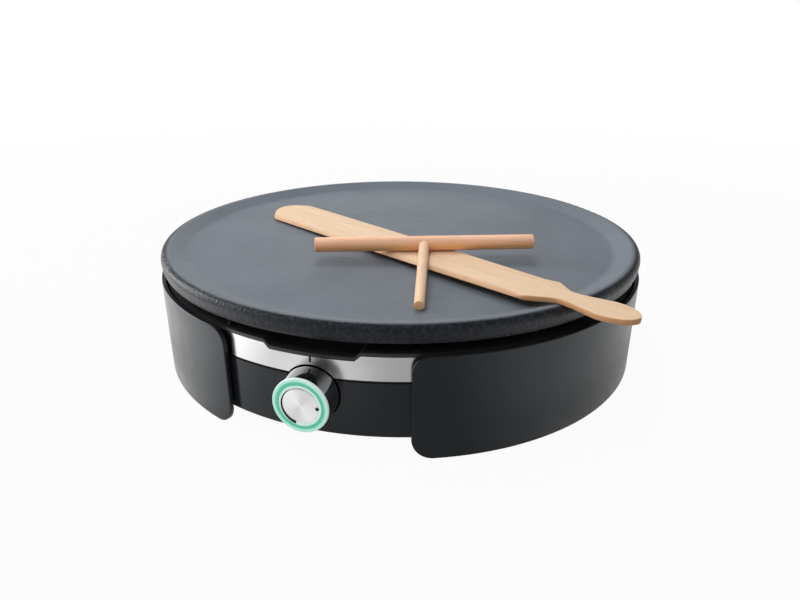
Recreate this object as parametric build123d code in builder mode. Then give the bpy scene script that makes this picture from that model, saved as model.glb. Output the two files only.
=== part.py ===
"""Electric crepe maker: cast hot plate on a round base with two curved side panels,
a rotary thermostat knob at the front, and its wooden spatula and batter spreader.

Millimetres and degrees. Origin on the worktop under the centre of the plate,
+Z up, -Y towards the user (the knob), +X to the user's right.
"""
from build123d import *
from math import asin, cos, degrees, radians, sin, sqrt, tan
import os

# ---------------------------------------------------------------- clearances
seat_gap = 0.1  # between fixed pieces that seat on each other
lift_gap = 0.3  # between pieces that come apart in use
run_gap = 0.05  # radial, shaft in its bushing
screw_play = 0.25  # radial, screw through a plain hole

# ---------------------------------------------------------------- hot plate
plate_radius = 175.0
rim_depth = 10.6  # from the crest of the rim down to its lowest edge
dish_inset = 18.0  # from the outer wall in to the flat cooking surface
dish_depth = 4.8
crest_inset = 6.5  # from the outer wall in to the crest's inner edge
web_thickness = 5.0
rim_wall = 6.0
rim_draft = 0.8  # how far the outer wall leans in towards its foot
lip_gap = 6.9  # from the deck up to the rim's lowest edge
lip_inset = 1.8
lip_bevel = 2.4
slope_round = 9.0
crest_round = 3.0
shoulder_round = 4.2

# ---------------------------------------------------------------- base drum
base_inset = 3.9  # from the plate's outer wall in to the drum
base_bottom = 11.7
base_edge_round = 1.2
wall_thickness = 2.8
band_height = 15.05
band_thickness = 0.6
band_groove = 1.5  # shadow line under the steel band
deck_height = 63.3  # underside of the deck ring
deck_thickness = 2.2
deck_overhang = 0.5
deck_width = 21.1  # from the drum's wall in to the deck's opening
boss_radius = 4.4
boss_sink = 1.2  # how far each screw boss runs into the wall
boss_angles = (20.0, 70.0, 110.0, 160.0, 200.0, 250.0, 290.0, 340.0)

# dropped tray of the deck, over the knob
drop_depth = 3.3
drop_half_angle = 8.6
drop_slope = 3.4
drop_round = 1.2
drop_width = 16.1
drop_wall = 2.0
drop_shoulder = 4.0

# ---------------------------------------------------------------- side panels
panel_air = 1.9  # between a panel and the drum
panel_thickness = 2.6
panel_bottom = 0.3
panel_gap_angle = 18.94  # from the front and from the back
panel_bottom_round = 13.0
panel_top_round = 10.5
panel_edge_round = 0.7
panel_screw_angles = (46.0, 88.0, 130.0)  # from the front
panel_screw_heights = (22.0, 40.0)
panel_boss_radius = 5.0
panel_skin = 1.0  # left outside each blind screw hole
panel_screw_radius = 1.5
panel_screw_head_radius = 3.0
panel_screw_head_height = 2.0

# ---------------------------------------------------------------- base cover and feet
cover_thickness = 2.5
cover_screw_radius = 1.25
cover_screw_length = 12.0
cover_screw_head_radius = 2.4
cover_screw_head_height = 1.3
vent_ring_count = 3
vent_pitch = 14.0
vent_width = 3.0
vent_arc = 38.0
vent_count = 6
cover_rib_gap = 9.0  # from the outermost vents to the rib round them
cover_rib_width = 1.8
cover_rib_height = 3.0
foot_inset = 39.1  # from the drum's wall
foot_angles = (45.0, 135.0, 225.0, 315.0)
foot_radius = 10.5
foot_round = 2.0
foot_stem_radius = 4.0
foot_head_radius = 6.0
foot_head_height = 2.2

# ---------------------------------------------------------------- plate mounting
stud_inset = 13.1  # from the drum's wall
stud_angles = (45.0, 135.0, 225.0, 315.0)
stud_radius = 2.5
stud_depth = 6.0  # thread in the plate's boss
stud_tail = 1.5
plate_boss_radius = 7.0
plate_boss_drop = 3.6
spacer_radius = 5.5
nut_width = 8.0
nut_height = 4.0

# ---------------------------------------------------------------- heating
element_inset = 65.0  # from the plate's outer wall
element_tube = 4.0  # the tube's own radius
element_gap_angle = 26.0  # between the two cold ends, at the back
element_bend = 10.0
element_leg = 14.0
element_pin_radius = 1.6
element_pin_length = 9.0
seat_ring_width = 14.0
seat_ring_drop = 3.0
element_sink = 2.4  # how far the tube's crown lies inside the seat ring
clamp_angles = (0.0, 60.0, 120.0, 180.0, 240.0, 300.0)
clamp_width = 9.0
clamp_thickness = 1.5
clamp_pitch = 15.0  # from the tube's centre to each clamp screw
clamp_boss_radius = 4.6
clamp_screw_radius = 2.0
clamp_screw_depth = 6.0
clamp_screw_head_radius = 3.5
clamp_screw_head_height = 2.2

pan_gap = 3.0  # between the reflector and the deck's opening
pan_sheet = 0.6
pan_depth = 6.4
pan_flange = 5.0
pan_vent_circle = 30.0
pan_vent_radius = 6.0
pan_vent_count = 6
leg_hole_play = 1.6
capillary_hole_radius = 4.5

# ---------------------------------------------------------------- knob and thermostat
knob_lift = 0.4  # above the middle between the base cover and the dropped tray
knob_radius = 16.6
knob_stand = 15.8  # how far the knob's front stands out from the drum
knob_depth = 26.7
knob_opening = 17.3
bezel_depth = 1.6
bezel_round = 0.6
light_ring_radius = 14.8
light_ring_setback = 0.15
dial_ring_radius = 12.3
dial_ring_setback = 0.25
dial_cap_radius = 11.0
dial_cap_thickness = 1.4
ring_play = 0.06
core_plate = 3.0
hub_radius = 5.6
well_wall = 1.9
well_depth = 14.1  # from the drum's wall to the floor of the knob's well
well_floor = 2.0
shaft_radius = 3.0
shaft_flat = 0.8
shaft_in_body = 5.6
shaft_in_knob = 19.0
bushing_radius = 4.9
bushing_length = 6.2
bushing_nut_width = 13.0
bushing_nut_height = 2.4
bracket_sheet = 1.5
bracket_width = 30.0
bracket_foot = 16.0
bracket_top_margin = 1.7  # above the thermostat
bracket_screw_spread = 18.0
bracket_screw_length = 5.0
thermostat_width = 34.0
thermostat_depth = 22.0
thermostat_height = 28.0
thermostat_round = 2.0
blade_width = 6.3
blade_sheet = 0.8
blade_reach = 8.0
board_thickness = 1.6
board_hole_radius = 9.0
led_count = 12
led_size = 2.0
led_height = 0.8
led_circle = 13.6

# ---------------------------------------------------------------- sensor and fuse
bulb_radius = 3.0
bulb_length = 64.0
bulb_inset = 48.0  # in front of the plate's centre, counted from the heating element
fuse_radius = 2.5
fuse_length = 26.0
fuse_offset = 40.0  # behind the plate's centre
clip_sheet = 0.8
clip_width = 8.0
clip_ear = 6.0
clip_spread = 40.0
capillary_radius = 1.0
capillary_lead = 16.5  # level run behind the thermostat
capillary_drop = 7.0  # how far it hangs below the reflector and rises above it

# ---------------------------------------------------------------- mains inlet
gland_height = 30.0
gland_bore = 3.6
gland_body_radius = 7.0
gland_flange_radius = 9.5
gland_flange = 2.5
gland_stand = 13.3  # how far the gland's mouth stands out from the drum
gland_neck_radius = 7.4
gland_tip_radius = 5.8
gland_tail = 7.0
gland_latch_radius = 8.4
gland_latch = 2.0
block_length = 36.0
block_width = 18.0
block_height = 15.0
block_gap = 6.2  # from the cover's rib to the terminal block
wire_room = 14.5  # between the terminal block and the cradle
block_ways = 3
block_round = 1.0
block_screw_spread = 12.0
insert_width = 6.0
insert_height = 7.0
insert_floor = 3.0
insert_screw_radius = 1.9
cradle_inset = 29.1  # from the drum's wall
cradle_length = 36.0
cradle_width = 9.0
cradle_nip = 0.8
clamp_bar_height = 5.0
lead_grip = 3.4
cradle_screw_radius = 1.5
cradle_screw_spread = 24.0
cradle_screw_depth = 8.0

# ---------------------------------------------------------------- spatula
board_place = (-0.6111, 0.1657)  # the board's reference point, as shares of the plate's radius
board_angle = -30.04
board_edge_lead = 5.2  # how much earlier the board's edges meet the rim than its centre line
blade_length = 257.0  # from the reference point to the shoulder
blade_far = (25.8, 23.2, 17.8)  # half widths away from the user: tip, middle, shoulder
blade_near = (17.0, 17.6, 15.8)  # half widths towards the user
tip_reach = 16.0
tip_lean = 9.0  # how far the tip's furthest point lies off the centre line
handle_length = 61.3
neck_reach = 16.5  # from the shoulder to the handle's narrowest place
grip_reach = 42.0  # from the shoulder to its widest place
neck_half = 7.7
grip_half = 11.8
handle_offset = 1.9  # the handle's centre line from the blade's
board_crown = 3.4  # thickness on the centre line
board_crown_radius = 100.0
board_crown_offset = 3.0  # the crown's highest line from the blade's centre line
tip_bevel_length = 40.0
tip_bevel_depth = 2.2

# ---------------------------------------------------------------- spreader
bar_radius = 5.0
bar_length = 149.0
bar_angle = 18.24
bar_place = (0.1791, -0.2718)  # the bar's middle, as shares of the plate's radius
bar_socket = 4.4
handle_root_radius = 3.45
handle_end_radius = 3.15
spreader_handle_length = 89.6
spreader_handle_angle = -76.7

# ---------------------------------------------------------------- worked out
deck_top = deck_height + deck_thickness
band_bottom = deck_height - band_height
lip_height = deck_top + lip_gap
rim_height = lip_height + rim_depth
cook_height = rim_height - dish_depth
web_bottom = cook_height - web_thickness
dish_radius = plate_radius - dish_inset
crest_inner = plate_radius - crest_inset
base_radius = plate_radius - base_inset
element_radius = plate_radius - element_inset
bulb_offset = element_radius - bulb_inset
seat_ring_bottom = web_bottom - seat_ring_drop
element_height = seat_ring_bottom + element_sink - element_tube
element_bottom = element_height - element_tube
clamp_seat = element_bottom - seat_gap - clamp_thickness
clamp_circles = (element_radius - clamp_pitch, element_radius + clamp_pitch)
wall_inner = base_radius - wall_thickness
band_inner = base_radius - band_thickness
band_seat = band_inner - seat_gap
boss_circle = wall_inner - boss_radius + boss_sink
cover_top = base_bottom + cover_thickness
cover_radius = wall_inner - lift_gap
deck_radius = base_radius + deck_overhang
deck_inner_radius = base_radius - deck_width
drop_inner_radius = base_radius - drop_width
drop_half = base_radius * sin(radians(drop_half_angle))
drop_zone = drop_half + drop_slope + drop_shoulder
panel_inner = base_radius + panel_air
panel_radius = panel_inner + panel_thickness
panel_top = deck_top
panel_screw_end = panel_radius - panel_skin - seat_gap
foot_circle = base_radius - foot_inset
stud_circle = base_radius - stud_inset
plate_boss_bottom = web_bottom - plate_boss_drop
stud_bottom = deck_height - nut_height - stud_tail
pan_radius = deck_inner_radius - pan_gap
pan_bottom = deck_top - pan_depth
knob_height = (cover_top + deck_height - drop_depth) / 2 + knob_lift
knob_face = base_radius + knob_stand
knob_back = knob_face - knob_depth
well_outer = knob_opening + well_wall
well_floor_face = base_radius - well_depth
well_back = well_floor_face - well_floor
bracket_back = well_back - bracket_sheet
bulb_height = web_bottom - clip_sheet - bulb_radius
core_back = knob_face - dial_cap_thickness - core_plate
gland_reach = base_radius + gland_stand
cradle_offset = base_radius - cradle_inset
bar_slot_height = gland_height + cradle_nip / 2
block_offset = cradle_offset - cradle_width / 2 - wire_room - block_width / 2
cover_rib_radius = block_offset - block_width / 2 - block_gap - cover_rib_width
vent_rings = [cover_rib_radius - cover_rib_gap - vent_pitch * n for n in range(vent_ring_count)]
thermostat_front = -bracket_back + thermostat_depth / 2
thermostat_top = knob_height + thermostat_height / 2
bracket_top = thermostat_top + bracket_top_margin
capillary_level = (thermostat_top + pan_bottom) / 2

# the capillary runs from the sensor bulb down to the thermostat's top
capillary_route = (
    (bulb_length / 2, -bulb_offset, bulb_height),
    (bulb_length / 2 + 9, -bulb_offset, bulb_height),
    (34, 26 - element_radius, pan_bottom + capillary_drop),
    (28, 8 - element_radius, pan_bottom - capillary_drop),
    (14, thermostat_front + capillary_lead, capillary_level),
    (9, thermostat_front, capillary_level),
    (9, thermostat_front, thermostat_top),
)
capillary_bends = (5, 8, 9, 9, 2)
capillary_hole = (31.6, 18.5 - element_radius)

os.makedirs("parts", exist_ok=True)


def front_plane(distance, height=knob_height):
    """Plane facing the user, at a distance from the plate's axis; its x runs to the right."""
    return Plane(origin=(0, -distance, height), x_dir=(1, 0, 0), z_dir=(0, -1, 0))


def radial_plane(angle, distance, height):
    """Plane whose normal points outwards at an angle, counted from +X towards +Y."""
    out = Vector(cos(radians(angle)), sin(radians(angle)), 0)
    side = Vector(-out.Y, out.X, 0)
    return Plane(origin=(out.X * distance, out.Y * distance, height), x_dir=side, z_dir=out)


def ring_places(radius, angles, height=0):
    """Places on a circle about the plate's axis, each turned to face outwards."""
    return [
        Location((radius * cos(radians(a)), radius * sin(radians(a)), height), (0, 0, a))
        for a in angles
    ]


def corner(sketch, x, y):
    """The sketch's vertex nearest to a point."""
    return sketch.vertices().sort_by_distance((x, y))[0]


def save(part, label):
    part.label = label
    export_step(part, f"parts/{label}.step")


def deck_step(offset, level):
    """Front view of the area between the deck's stepped line, moved up by offset, and a level."""
    reach = deck_radius + 2
    low = deck_height - drop_depth + offset
    high = deck_height + offset
    outer = drop_half + drop_slope
    line = [(-reach, high), (-outer, high), (-drop_half, low)]
    line += [(drop_half, low), (outer, high), (reach, high)]
    with BuildSketch(Plane.XZ) as step:
        with BuildLine():
            FilletPolyline(*line, radius=drop_round)
            Polyline(line[-1], (reach, level), (-reach, level), line[0])
        make_face()
    return step.sketch


def screw(shank_radius, length, head_radius, head_height):
    """Cross-head screw: its head below the origin, its shank running up +Z from it."""
    slot = head_radius * 0.28
    with BuildPart() as piece:
        with BuildSketch(Plane.XZ):
            with BuildLine():
                Polyline(
                    (0, -head_height),
                    (head_radius * 0.7, -head_height),
                    (head_radius, -head_height * 0.5),
                    (head_radius, 0),
                    (shank_radius, 0),
                    (shank_radius, length),
                    (0, length),
                    close=True,
                )
            make_face()
        revolve(axis=Axis.Z)
        with BuildSketch(Plane.XY.offset(-head_height)):
            Rectangle(head_radius * 1.2, slot)
            Rectangle(slot, head_radius * 1.2)
        extrude(amount=head_height * 0.5, mode=Mode.SUBTRACT)
    return piece.part


def tube_clip(radius, height, offset, places):
    """Straps that hold a tube lying along X up against the plate's underside."""
    outer = radius + clip_sheet
    with BuildPart() as clips:
        for place in places:
            with BuildSketch(Plane.YZ.offset(place - clip_width / 2)):
                with Locations((offset, height)):
                    Circle(outer)
                with Locations((offset, web_bottom - (web_bottom - height) / 2)):
                    Rectangle(2 * outer, web_bottom - height)
                with Locations((offset, web_bottom - clip_sheet / 2)):
                    Rectangle(2 * (outer + clip_ear), clip_sheet)
                with Locations((offset, height)):
                    Circle(radius + seat_gap / 2, mode=Mode.SUBTRACT)
                with Locations((offset, web_bottom - (web_bottom - height) / 2)):
                    Rectangle(2 * radius + seat_gap, web_bottom - height, mode=Mode.SUBTRACT)
            extrude(amount=clip_width)
    return clips.part


# ================================================================ hot plate
with BuildPart() as hot_plate:
    with BuildSketch(Plane.XZ) as plate_section:
        with BuildLine():
            Polyline(
                (0, web_bottom),
                (0, cook_height),
                (dish_radius, cook_height),
                (crest_inner, rim_height),
                (plate_radius, rim_height),
                (plate_radius - rim_draft, lip_height + lip_bevel),
                (plate_radius - lip_inset, lip_height),
                (plate_radius - rim_wall, lip_height),
                (plate_radius - rim_wall - 1, web_bottom),
                close=True,
            )
        make_face()
        fillet(corner(plate_section, dish_radius, cook_height), slope_round)
        fillet(corner(plate_section, crest_inner, rim_height), crest_round)
        fillet(corner(plate_section, plate_radius, rim_height), shoulder_round)
    revolve(axis=Axis.Z)
    # raised ring that seats the heating element, and the bosses for its clamps
    with BuildSketch(Plane.XY.offset(seat_ring_bottom)):
        Circle(element_radius + seat_ring_width / 2)
        Circle(element_radius - seat_ring_width / 2, mode=Mode.SUBTRACT)
    extrude(amount=seat_ring_drop + 1)
    with BuildSketch(Plane.XY.offset(element_bottom)):
        for radius in clamp_circles:
            with Locations(ring_places(radius, clamp_angles)):
                Circle(clamp_boss_radius)
    extrude(amount=web_bottom - element_bottom + 1)
    with BuildSketch(Plane.XZ):
        with Locations((element_radius, element_height)):
            Circle(element_tube + seat_gap)
    revolve(axis=Axis.Z, mode=Mode.SUBTRACT)
    with BuildSketch(Plane.XY.offset(element_bottom)):
        for radius in clamp_circles:
            with Locations(ring_places(radius, clamp_angles)):
                Circle(clamp_screw_radius + seat_gap)
    extrude(amount=clamp_screw_depth + seat_gap, mode=Mode.SUBTRACT)
    # bosses for the mounting studs
    with BuildSketch(Plane.XY.offset(plate_boss_bottom)):
        with Locations(ring_places(stud_circle, stud_angles)):
            Circle(plate_boss_radius)
    extrude(amount=plate_boss_drop + 1)
    with BuildSketch(Plane.XY.offset(plate_boss_bottom)):
        with Locations(ring_places(stud_circle, stud_angles)):
            Circle(stud_radius + seat_gap)
    extrude(amount=stud_depth + seat_gap, mode=Mode.SUBTRACT)
save(hot_plate.part, "hot_plate")

# ================================================================ heating element
ring_start = 90 + element_gap_angle / 2
start_out = Vector(sin(radians(ring_start)), -cos(radians(ring_start)), 0)
start_point = Vector(cos(radians(ring_start)), sin(radians(ring_start)), 0) * element_radius
start_point += Vector(0, 0, element_height)
end_out = Vector(-start_out.X, start_out.Y, 0)
end_point = Vector(-start_point.X, start_point.Y, start_point.Z)
down = Vector(0, 0, -1)
half_bend = element_bend * sin(radians(45))
start_middle = start_point + start_out * half_bend + down * (element_bend - half_bend)
end_middle = end_point + end_out * half_bend + down * (element_bend - half_bend)
start_leg = start_point + (start_out + down) * element_bend
end_leg = end_point + (end_out + down) * element_bend
leg_bottom = start_leg.Z - element_leg
leg_places = ((start_leg.X, start_leg.Y), (end_leg.X, end_leg.Y))

with BuildPart() as heating_element:
    with BuildLine() as element_path:
        Line(start_leg + down * element_leg, start_leg)
        ThreePointArc(start_leg, start_middle, start_point)
        with BuildLine(Plane.XY.offset(element_height)):
            CenterArc((0, 0), element_radius, ring_start, 360 - element_gap_angle)
        ThreePointArc(end_point, end_middle, end_leg)
        Line(end_leg, end_leg + down * element_leg)
    with BuildSketch(Plane(origin=start_leg + down * element_leg, z_dir=(0, 0, 1))):
        Circle(element_tube)
    sweep()
    with BuildSketch(Plane.XY.offset(leg_bottom)):
        with Locations(*leg_places):
            Circle(element_pin_radius)
    extrude(amount=-element_pin_length)
save(heating_element.part, "heating_element")

with BuildPart() as element_clamps:
    with BuildSketch(Plane.XY.offset(clamp_seat)):
        with Locations(ring_places(element_radius, clamp_angles)):
            SlotOverall(2 * clamp_pitch + clamp_width, clamp_width)
        for radius in clamp_circles:
            with Locations(ring_places(radius, clamp_angles)):
                Circle(clamp_screw_radius + screw_play, mode=Mode.SUBTRACT)
    extrude(amount=clamp_thickness)
save(element_clamps.part, "element_clamps")

clamp_screw = screw(
    clamp_screw_radius,
    clamp_thickness + seat_gap + clamp_screw_depth,
    clamp_screw_head_radius,
    clamp_screw_head_height,
)
with BuildPart() as clamp_screws:
    for radius in clamp_circles:
        with Locations(ring_places(radius, clamp_angles, clamp_seat)):
            add(clamp_screw)
save(clamp_screws.part, "clamp_screws")

# ================================================================ heat reflector
with BuildPart() as heat_reflector:
    with BuildSketch(Plane.XZ):
        with BuildLine():
            Polyline(
                (0, pan_bottom),
                (pan_radius, pan_bottom),
                (pan_radius, deck_top),
                (pan_radius + pan_flange, deck_top),
                (pan_radius + pan_flange, deck_top + pan_sheet),
                (pan_radius - pan_sheet, deck_top + pan_sheet),
                (pan_radius - pan_sheet, pan_bottom + pan_sheet),
                (0, pan_bottom + pan_sheet),
                close=True,
            )
        make_face()
    revolve(axis=Axis.Z)
    with BuildSketch(Plane.XY.offset(pan_bottom)):
        with PolarLocations(pan_vent_circle, pan_vent_count):
            Circle(pan_vent_radius)
        with Locations(*leg_places):
            Circle(element_tube + leg_hole_play)
        with Locations(capillary_hole):
            Circle(capillary_hole_radius)
    extrude(amount=pan_sheet, mode=Mode.SUBTRACT)
save(heat_reflector.part, "heat_reflector")

# ================================================================ sensor bulb and fuse
with BuildPart() as sensor_bulb:
    with BuildSketch(Plane.YZ.offset(-bulb_length / 2)):
        with Locations((-bulb_offset, bulb_height)):
            Circle(bulb_radius)
    extrude(amount=bulb_length)
    chamfer(sensor_bulb.edges().sort_by(Axis.X)[0], bulb_radius / 3)
save(sensor_bulb.part, "sensor_bulb")

with BuildPart() as capillary_tube:
    with BuildLine() as capillary_path:
        FilletPolyline(*capillary_route, radius=capillary_bends)
    with BuildSketch(Plane(origin=capillary_route[0], z_dir=(1, 0, 0))):
        Circle(capillary_radius)
    sweep()
save(capillary_tube.part, "capillary_tube")

fuse_height = web_bottom - clip_sheet - fuse_radius
with BuildPart() as thermal_fuse:
    with BuildSketch(Plane.YZ.offset(-fuse_length / 2)):
        with Locations((fuse_offset, fuse_height)):
            Circle(fuse_radius)
    extrude(amount=fuse_length)
    with BuildSketch(Plane.YZ.offset(-fuse_length / 2 - blade_reach)):
        with Locations((fuse_offset, fuse_height)):
            Circle(capillary_radius)
    extrude(amount=fuse_length + 2 * blade_reach)
save(thermal_fuse.part, "thermal_fuse")

bulb_clips = tube_clip(bulb_radius, bulb_height, -bulb_offset, (-clip_spread / 2, clip_spread / 2))
fuse_clips = tube_clip(fuse_radius, fuse_height, fuse_offset, (0,))
save(bulb_clips, "bulb_clips")
save(fuse_clips, "fuse_clip")

# ================================================================ plate mounting
with BuildPart() as plate_studs:
    with BuildSketch(Plane.XY.offset(stud_bottom)):
        with Locations(ring_places(stud_circle, stud_angles)):
            Circle(stud_radius)
    extrude(amount=plate_boss_bottom + stud_depth - stud_bottom)
save(plate_studs.part, "plate_studs")

with BuildPart() as plate_spacers:
    with BuildSketch(Plane.XY.offset(deck_top)):
        with Locations(ring_places(stud_circle, stud_angles)):
            Circle(spacer_radius)
            Circle(stud_radius + seat_gap, mode=Mode.SUBTRACT)
    extrude(amount=plate_boss_bottom - deck_top)
save(plate_spacers.part, "plate_spacers")

with BuildPart() as plate_nuts:
    with BuildSketch(Plane.XY.offset(deck_height - nut_height)):
        with Locations(ring_places(stud_circle, stud_angles)):
            RegularPolygon(radius=nut_width / 2, side_count=6, major_radius=False)
            Circle(stud_radius + seat_gap, mode=Mode.SUBTRACT)
    extrude(amount=nut_height)
save(plate_nuts.part, "plate_nuts")

# ================================================================ deck ring
above_band = deck_step(-seat_gap, deck_top)
above_tray = deck_step(deck_thickness, deck_top + drop_depth)
below_tray = deck_step(0, deck_height - 2 * drop_depth)

with BuildPart() as drop_tray:
    with BuildSketch(Plane.XY.offset(deck_height - drop_depth)):
        Circle(deck_radius)
        Circle(drop_inner_radius, mode=Mode.SUBTRACT)
        with Locations((0, -deck_radius / 2)):
            Rectangle(2 * drop_zone, deck_radius, mode=Mode.INTERSECT)
    extrude(amount=deck_thickness + drop_depth)
    extrude(above_tray, amount=deck_radius + 1, dir=(0, -1, 0), mode=Mode.SUBTRACT)
    extrude(below_tray, amount=deck_radius + 1, dir=(0, -1, 0), mode=Mode.SUBTRACT)
    with BuildSketch(Plane.XY.offset(deck_height - drop_depth)):
        Circle(drop_inner_radius)
        Circle(drop_inner_radius - drop_wall, mode=Mode.SUBTRACT)
        with Locations((0, -deck_radius / 2)):
            Rectangle(2 * drop_zone, deck_radius, mode=Mode.INTERSECT)
    extrude(amount=drop_depth + deck_thickness)

with BuildPart() as deck_ring:
    with BuildSketch(Plane.XY.offset(deck_height)):
        Circle(deck_radius)
        Circle(deck_inner_radius, mode=Mode.SUBTRACT)
    extrude(amount=deck_thickness)
    with BuildSketch(Plane.XY.offset(deck_height)):
        Circle(deck_radius + 1)
        Circle(drop_inner_radius - drop_wall / 2, mode=Mode.SUBTRACT)
        with Locations((0, -deck_radius / 2)):
            Rectangle(2 * drop_zone, deck_radius + 2, mode=Mode.INTERSECT)
    extrude(amount=deck_thickness, mode=Mode.SUBTRACT)
    add(drop_tray.part)
    with BuildSketch(Plane.XY.offset(deck_height)):
        with Locations(ring_places(stud_circle, stud_angles)):
            Circle(stud_radius + screw_play)
        with Locations(ring_places(boss_circle, boss_angles)):
            Circle(cover_screw_radius + screw_play)
    extrude(amount=deck_thickness, mode=Mode.SUBTRACT)
save(deck_ring.part, "deck_ring")

housing_screw = screw(
    cover_screw_radius, cover_screw_length, cover_screw_head_radius, cover_screw_head_height
)
with BuildPart() as deck_screws:
    for place in ring_places(boss_circle, boss_angles, deck_top):
        with Locations(place * Location((0, 0, 0), (180, 0, 0))):
            add(housing_screw)
save(deck_screws.part, "deck_screws")

# ================================================================ base housing
panel_screw_places = [
    (side + turn * (90 - angle), height)
    for side, turn in ((0, -1), (180, 1))
    for angle in panel_screw_angles
    for height in panel_screw_heights
]

with BuildPart() as base_housing:
    with BuildSketch(Plane.XZ) as wall_section:
        with BuildLine():
            Polyline(
                (wall_inner, base_bottom),
                (base_radius, base_bottom),
                (base_radius, band_bottom - band_groove),
                (band_seat, band_bottom - band_groove),
                (band_seat, deck_height),
                (wall_inner, deck_height),
                close=True,
            )
        make_face()
        fillet(corner(wall_section, base_radius, base_bottom), base_edge_round)
    revolve(axis=Axis.Z)
    with BuildSketch(Plane.XY.offset(cover_top)):
        with Locations(ring_places(boss_circle, boss_angles)):
            Circle(boss_radius)
    extrude(amount=deck_height - cover_top)
    with BuildSketch(Plane.XY.offset(cover_top)):
        with Locations(ring_places(boss_circle, boss_angles)):
            Circle(cover_screw_radius + seat_gap)
    extrude(amount=deck_height - cover_top, mode=Mode.SUBTRACT)
    # clear the deck's dropped tray and the knob
    extrude(above_band, amount=base_radius + 1, dir=(0, -1, 0), mode=Mode.SUBTRACT)
    with BuildSketch(front_plane(well_floor_face)):
        Circle(knob_opening)
    extrude(amount=base_radius - well_floor_face + 1, mode=Mode.SUBTRACT)
    # holes for the panel screws and the gland
    for angle, height in panel_screw_places:
        with BuildSketch(radial_plane(angle, wall_inner - 1, height)):
            Circle(panel_screw_radius + screw_play)
        extrude(amount=wall_thickness + 2, mode=Mode.SUBTRACT)
    with BuildSketch(radial_plane(90, wall_inner - 1, gland_height)):
        Circle(gland_body_radius + seat_gap)
    extrude(amount=wall_thickness + 2, mode=Mode.SUBTRACT)
save(base_housing.part, "base_housing")

with BuildPart() as steel_band:
    with BuildSketch(Plane.XY.offset(band_bottom)):
        Circle(base_radius)
        Circle(band_inner, mode=Mode.SUBTRACT)
    extrude(amount=deck_height - seat_gap / 2 - band_bottom)
    extrude(above_band, amount=base_radius + 1, dir=(0, -1, 0), mode=Mode.SUBTRACT)
    with BuildSketch(front_plane(well_floor_face)):
        Circle(knob_opening)
    extrude(amount=base_radius - well_floor_face + 1, mode=Mode.SUBTRACT)
save(steel_band.part, "steel_band")

# ================================================================ base cover
with BuildPart() as base_cover:
    with BuildSketch(Plane.XY.offset(base_bottom)):
        Circle(cover_radius)
    extrude(amount=cover_thickness)
    with BuildSketch(Plane.XY.offset(cover_top)):
        Circle(cover_rib_radius + cover_rib_width)
        Circle(cover_rib_radius, mode=Mode.SUBTRACT)
    extrude(amount=cover_rib_height)
    with BuildSketch(Plane.XY.offset(base_bottom)):
        for radius in vent_rings:
            for step in range(vent_count):
                slot_arc = CenterArc(
                    (0, 0), radius, step * 360 / vent_count, vent_arc, mode=Mode.PRIVATE
                )
                SlotArc(slot_arc, vent_width)
        with Locations(ring_places(foot_circle, foot_angles)):
            Circle(foot_stem_radius + seat_gap)
        with Locations(ring_places(boss_circle, boss_angles)):
            Circle(cover_screw_radius + screw_play)
        for side in (-0.5, 0.5):
            with Locations((side * bracket_screw_spread, -bracket_back + bracket_foot / 2)):
                Circle(cover_screw_radius + screw_play)
            with Locations((side * cradle_screw_spread, cradle_offset)):
                Circle(cradle_screw_radius + screw_play)
            with Locations((side * block_screw_spread, block_offset)):
                Circle(cover_screw_radius + screw_play)
    extrude(amount=cover_thickness, mode=Mode.SUBTRACT)
    with BuildSketch(Plane.XY.offset(base_bottom)):
        with Locations(ring_places(boss_circle, boss_angles)):
            Circle(cover_screw_head_radius + screw_play)
    extrude(amount=cover_screw_head_height, mode=Mode.SUBTRACT)
save(base_cover.part, "base_cover")

with BuildPart() as cover_screws:
    with Locations(ring_places(boss_circle, boss_angles, base_bottom + cover_screw_head_height)):
        add(housing_screw)
save(cover_screws.part, "cover_screws")

with BuildPart() as one_foot:
    with BuildSketch(Plane.XZ) as foot_section:
        with BuildLine():
            Polyline(
                (0, 0),
                (foot_radius - foot_round, 0),
                (foot_radius, foot_round),
                (foot_radius, base_bottom),
                (foot_stem_radius, base_bottom),
                (foot_stem_radius, cover_top),
                (foot_head_radius, cover_top),
                (foot_head_radius * 0.6, cover_top + foot_head_height),
                (0, cover_top + foot_head_height),
                close=True,
            )
        make_face()
    revolve(axis=Axis.Z)
with BuildPart() as rubber_feet:
    with Locations(ring_places(foot_circle, foot_angles)):
        add(one_foot.part)
save(rubber_feet.part, "rubber_feet")

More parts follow.
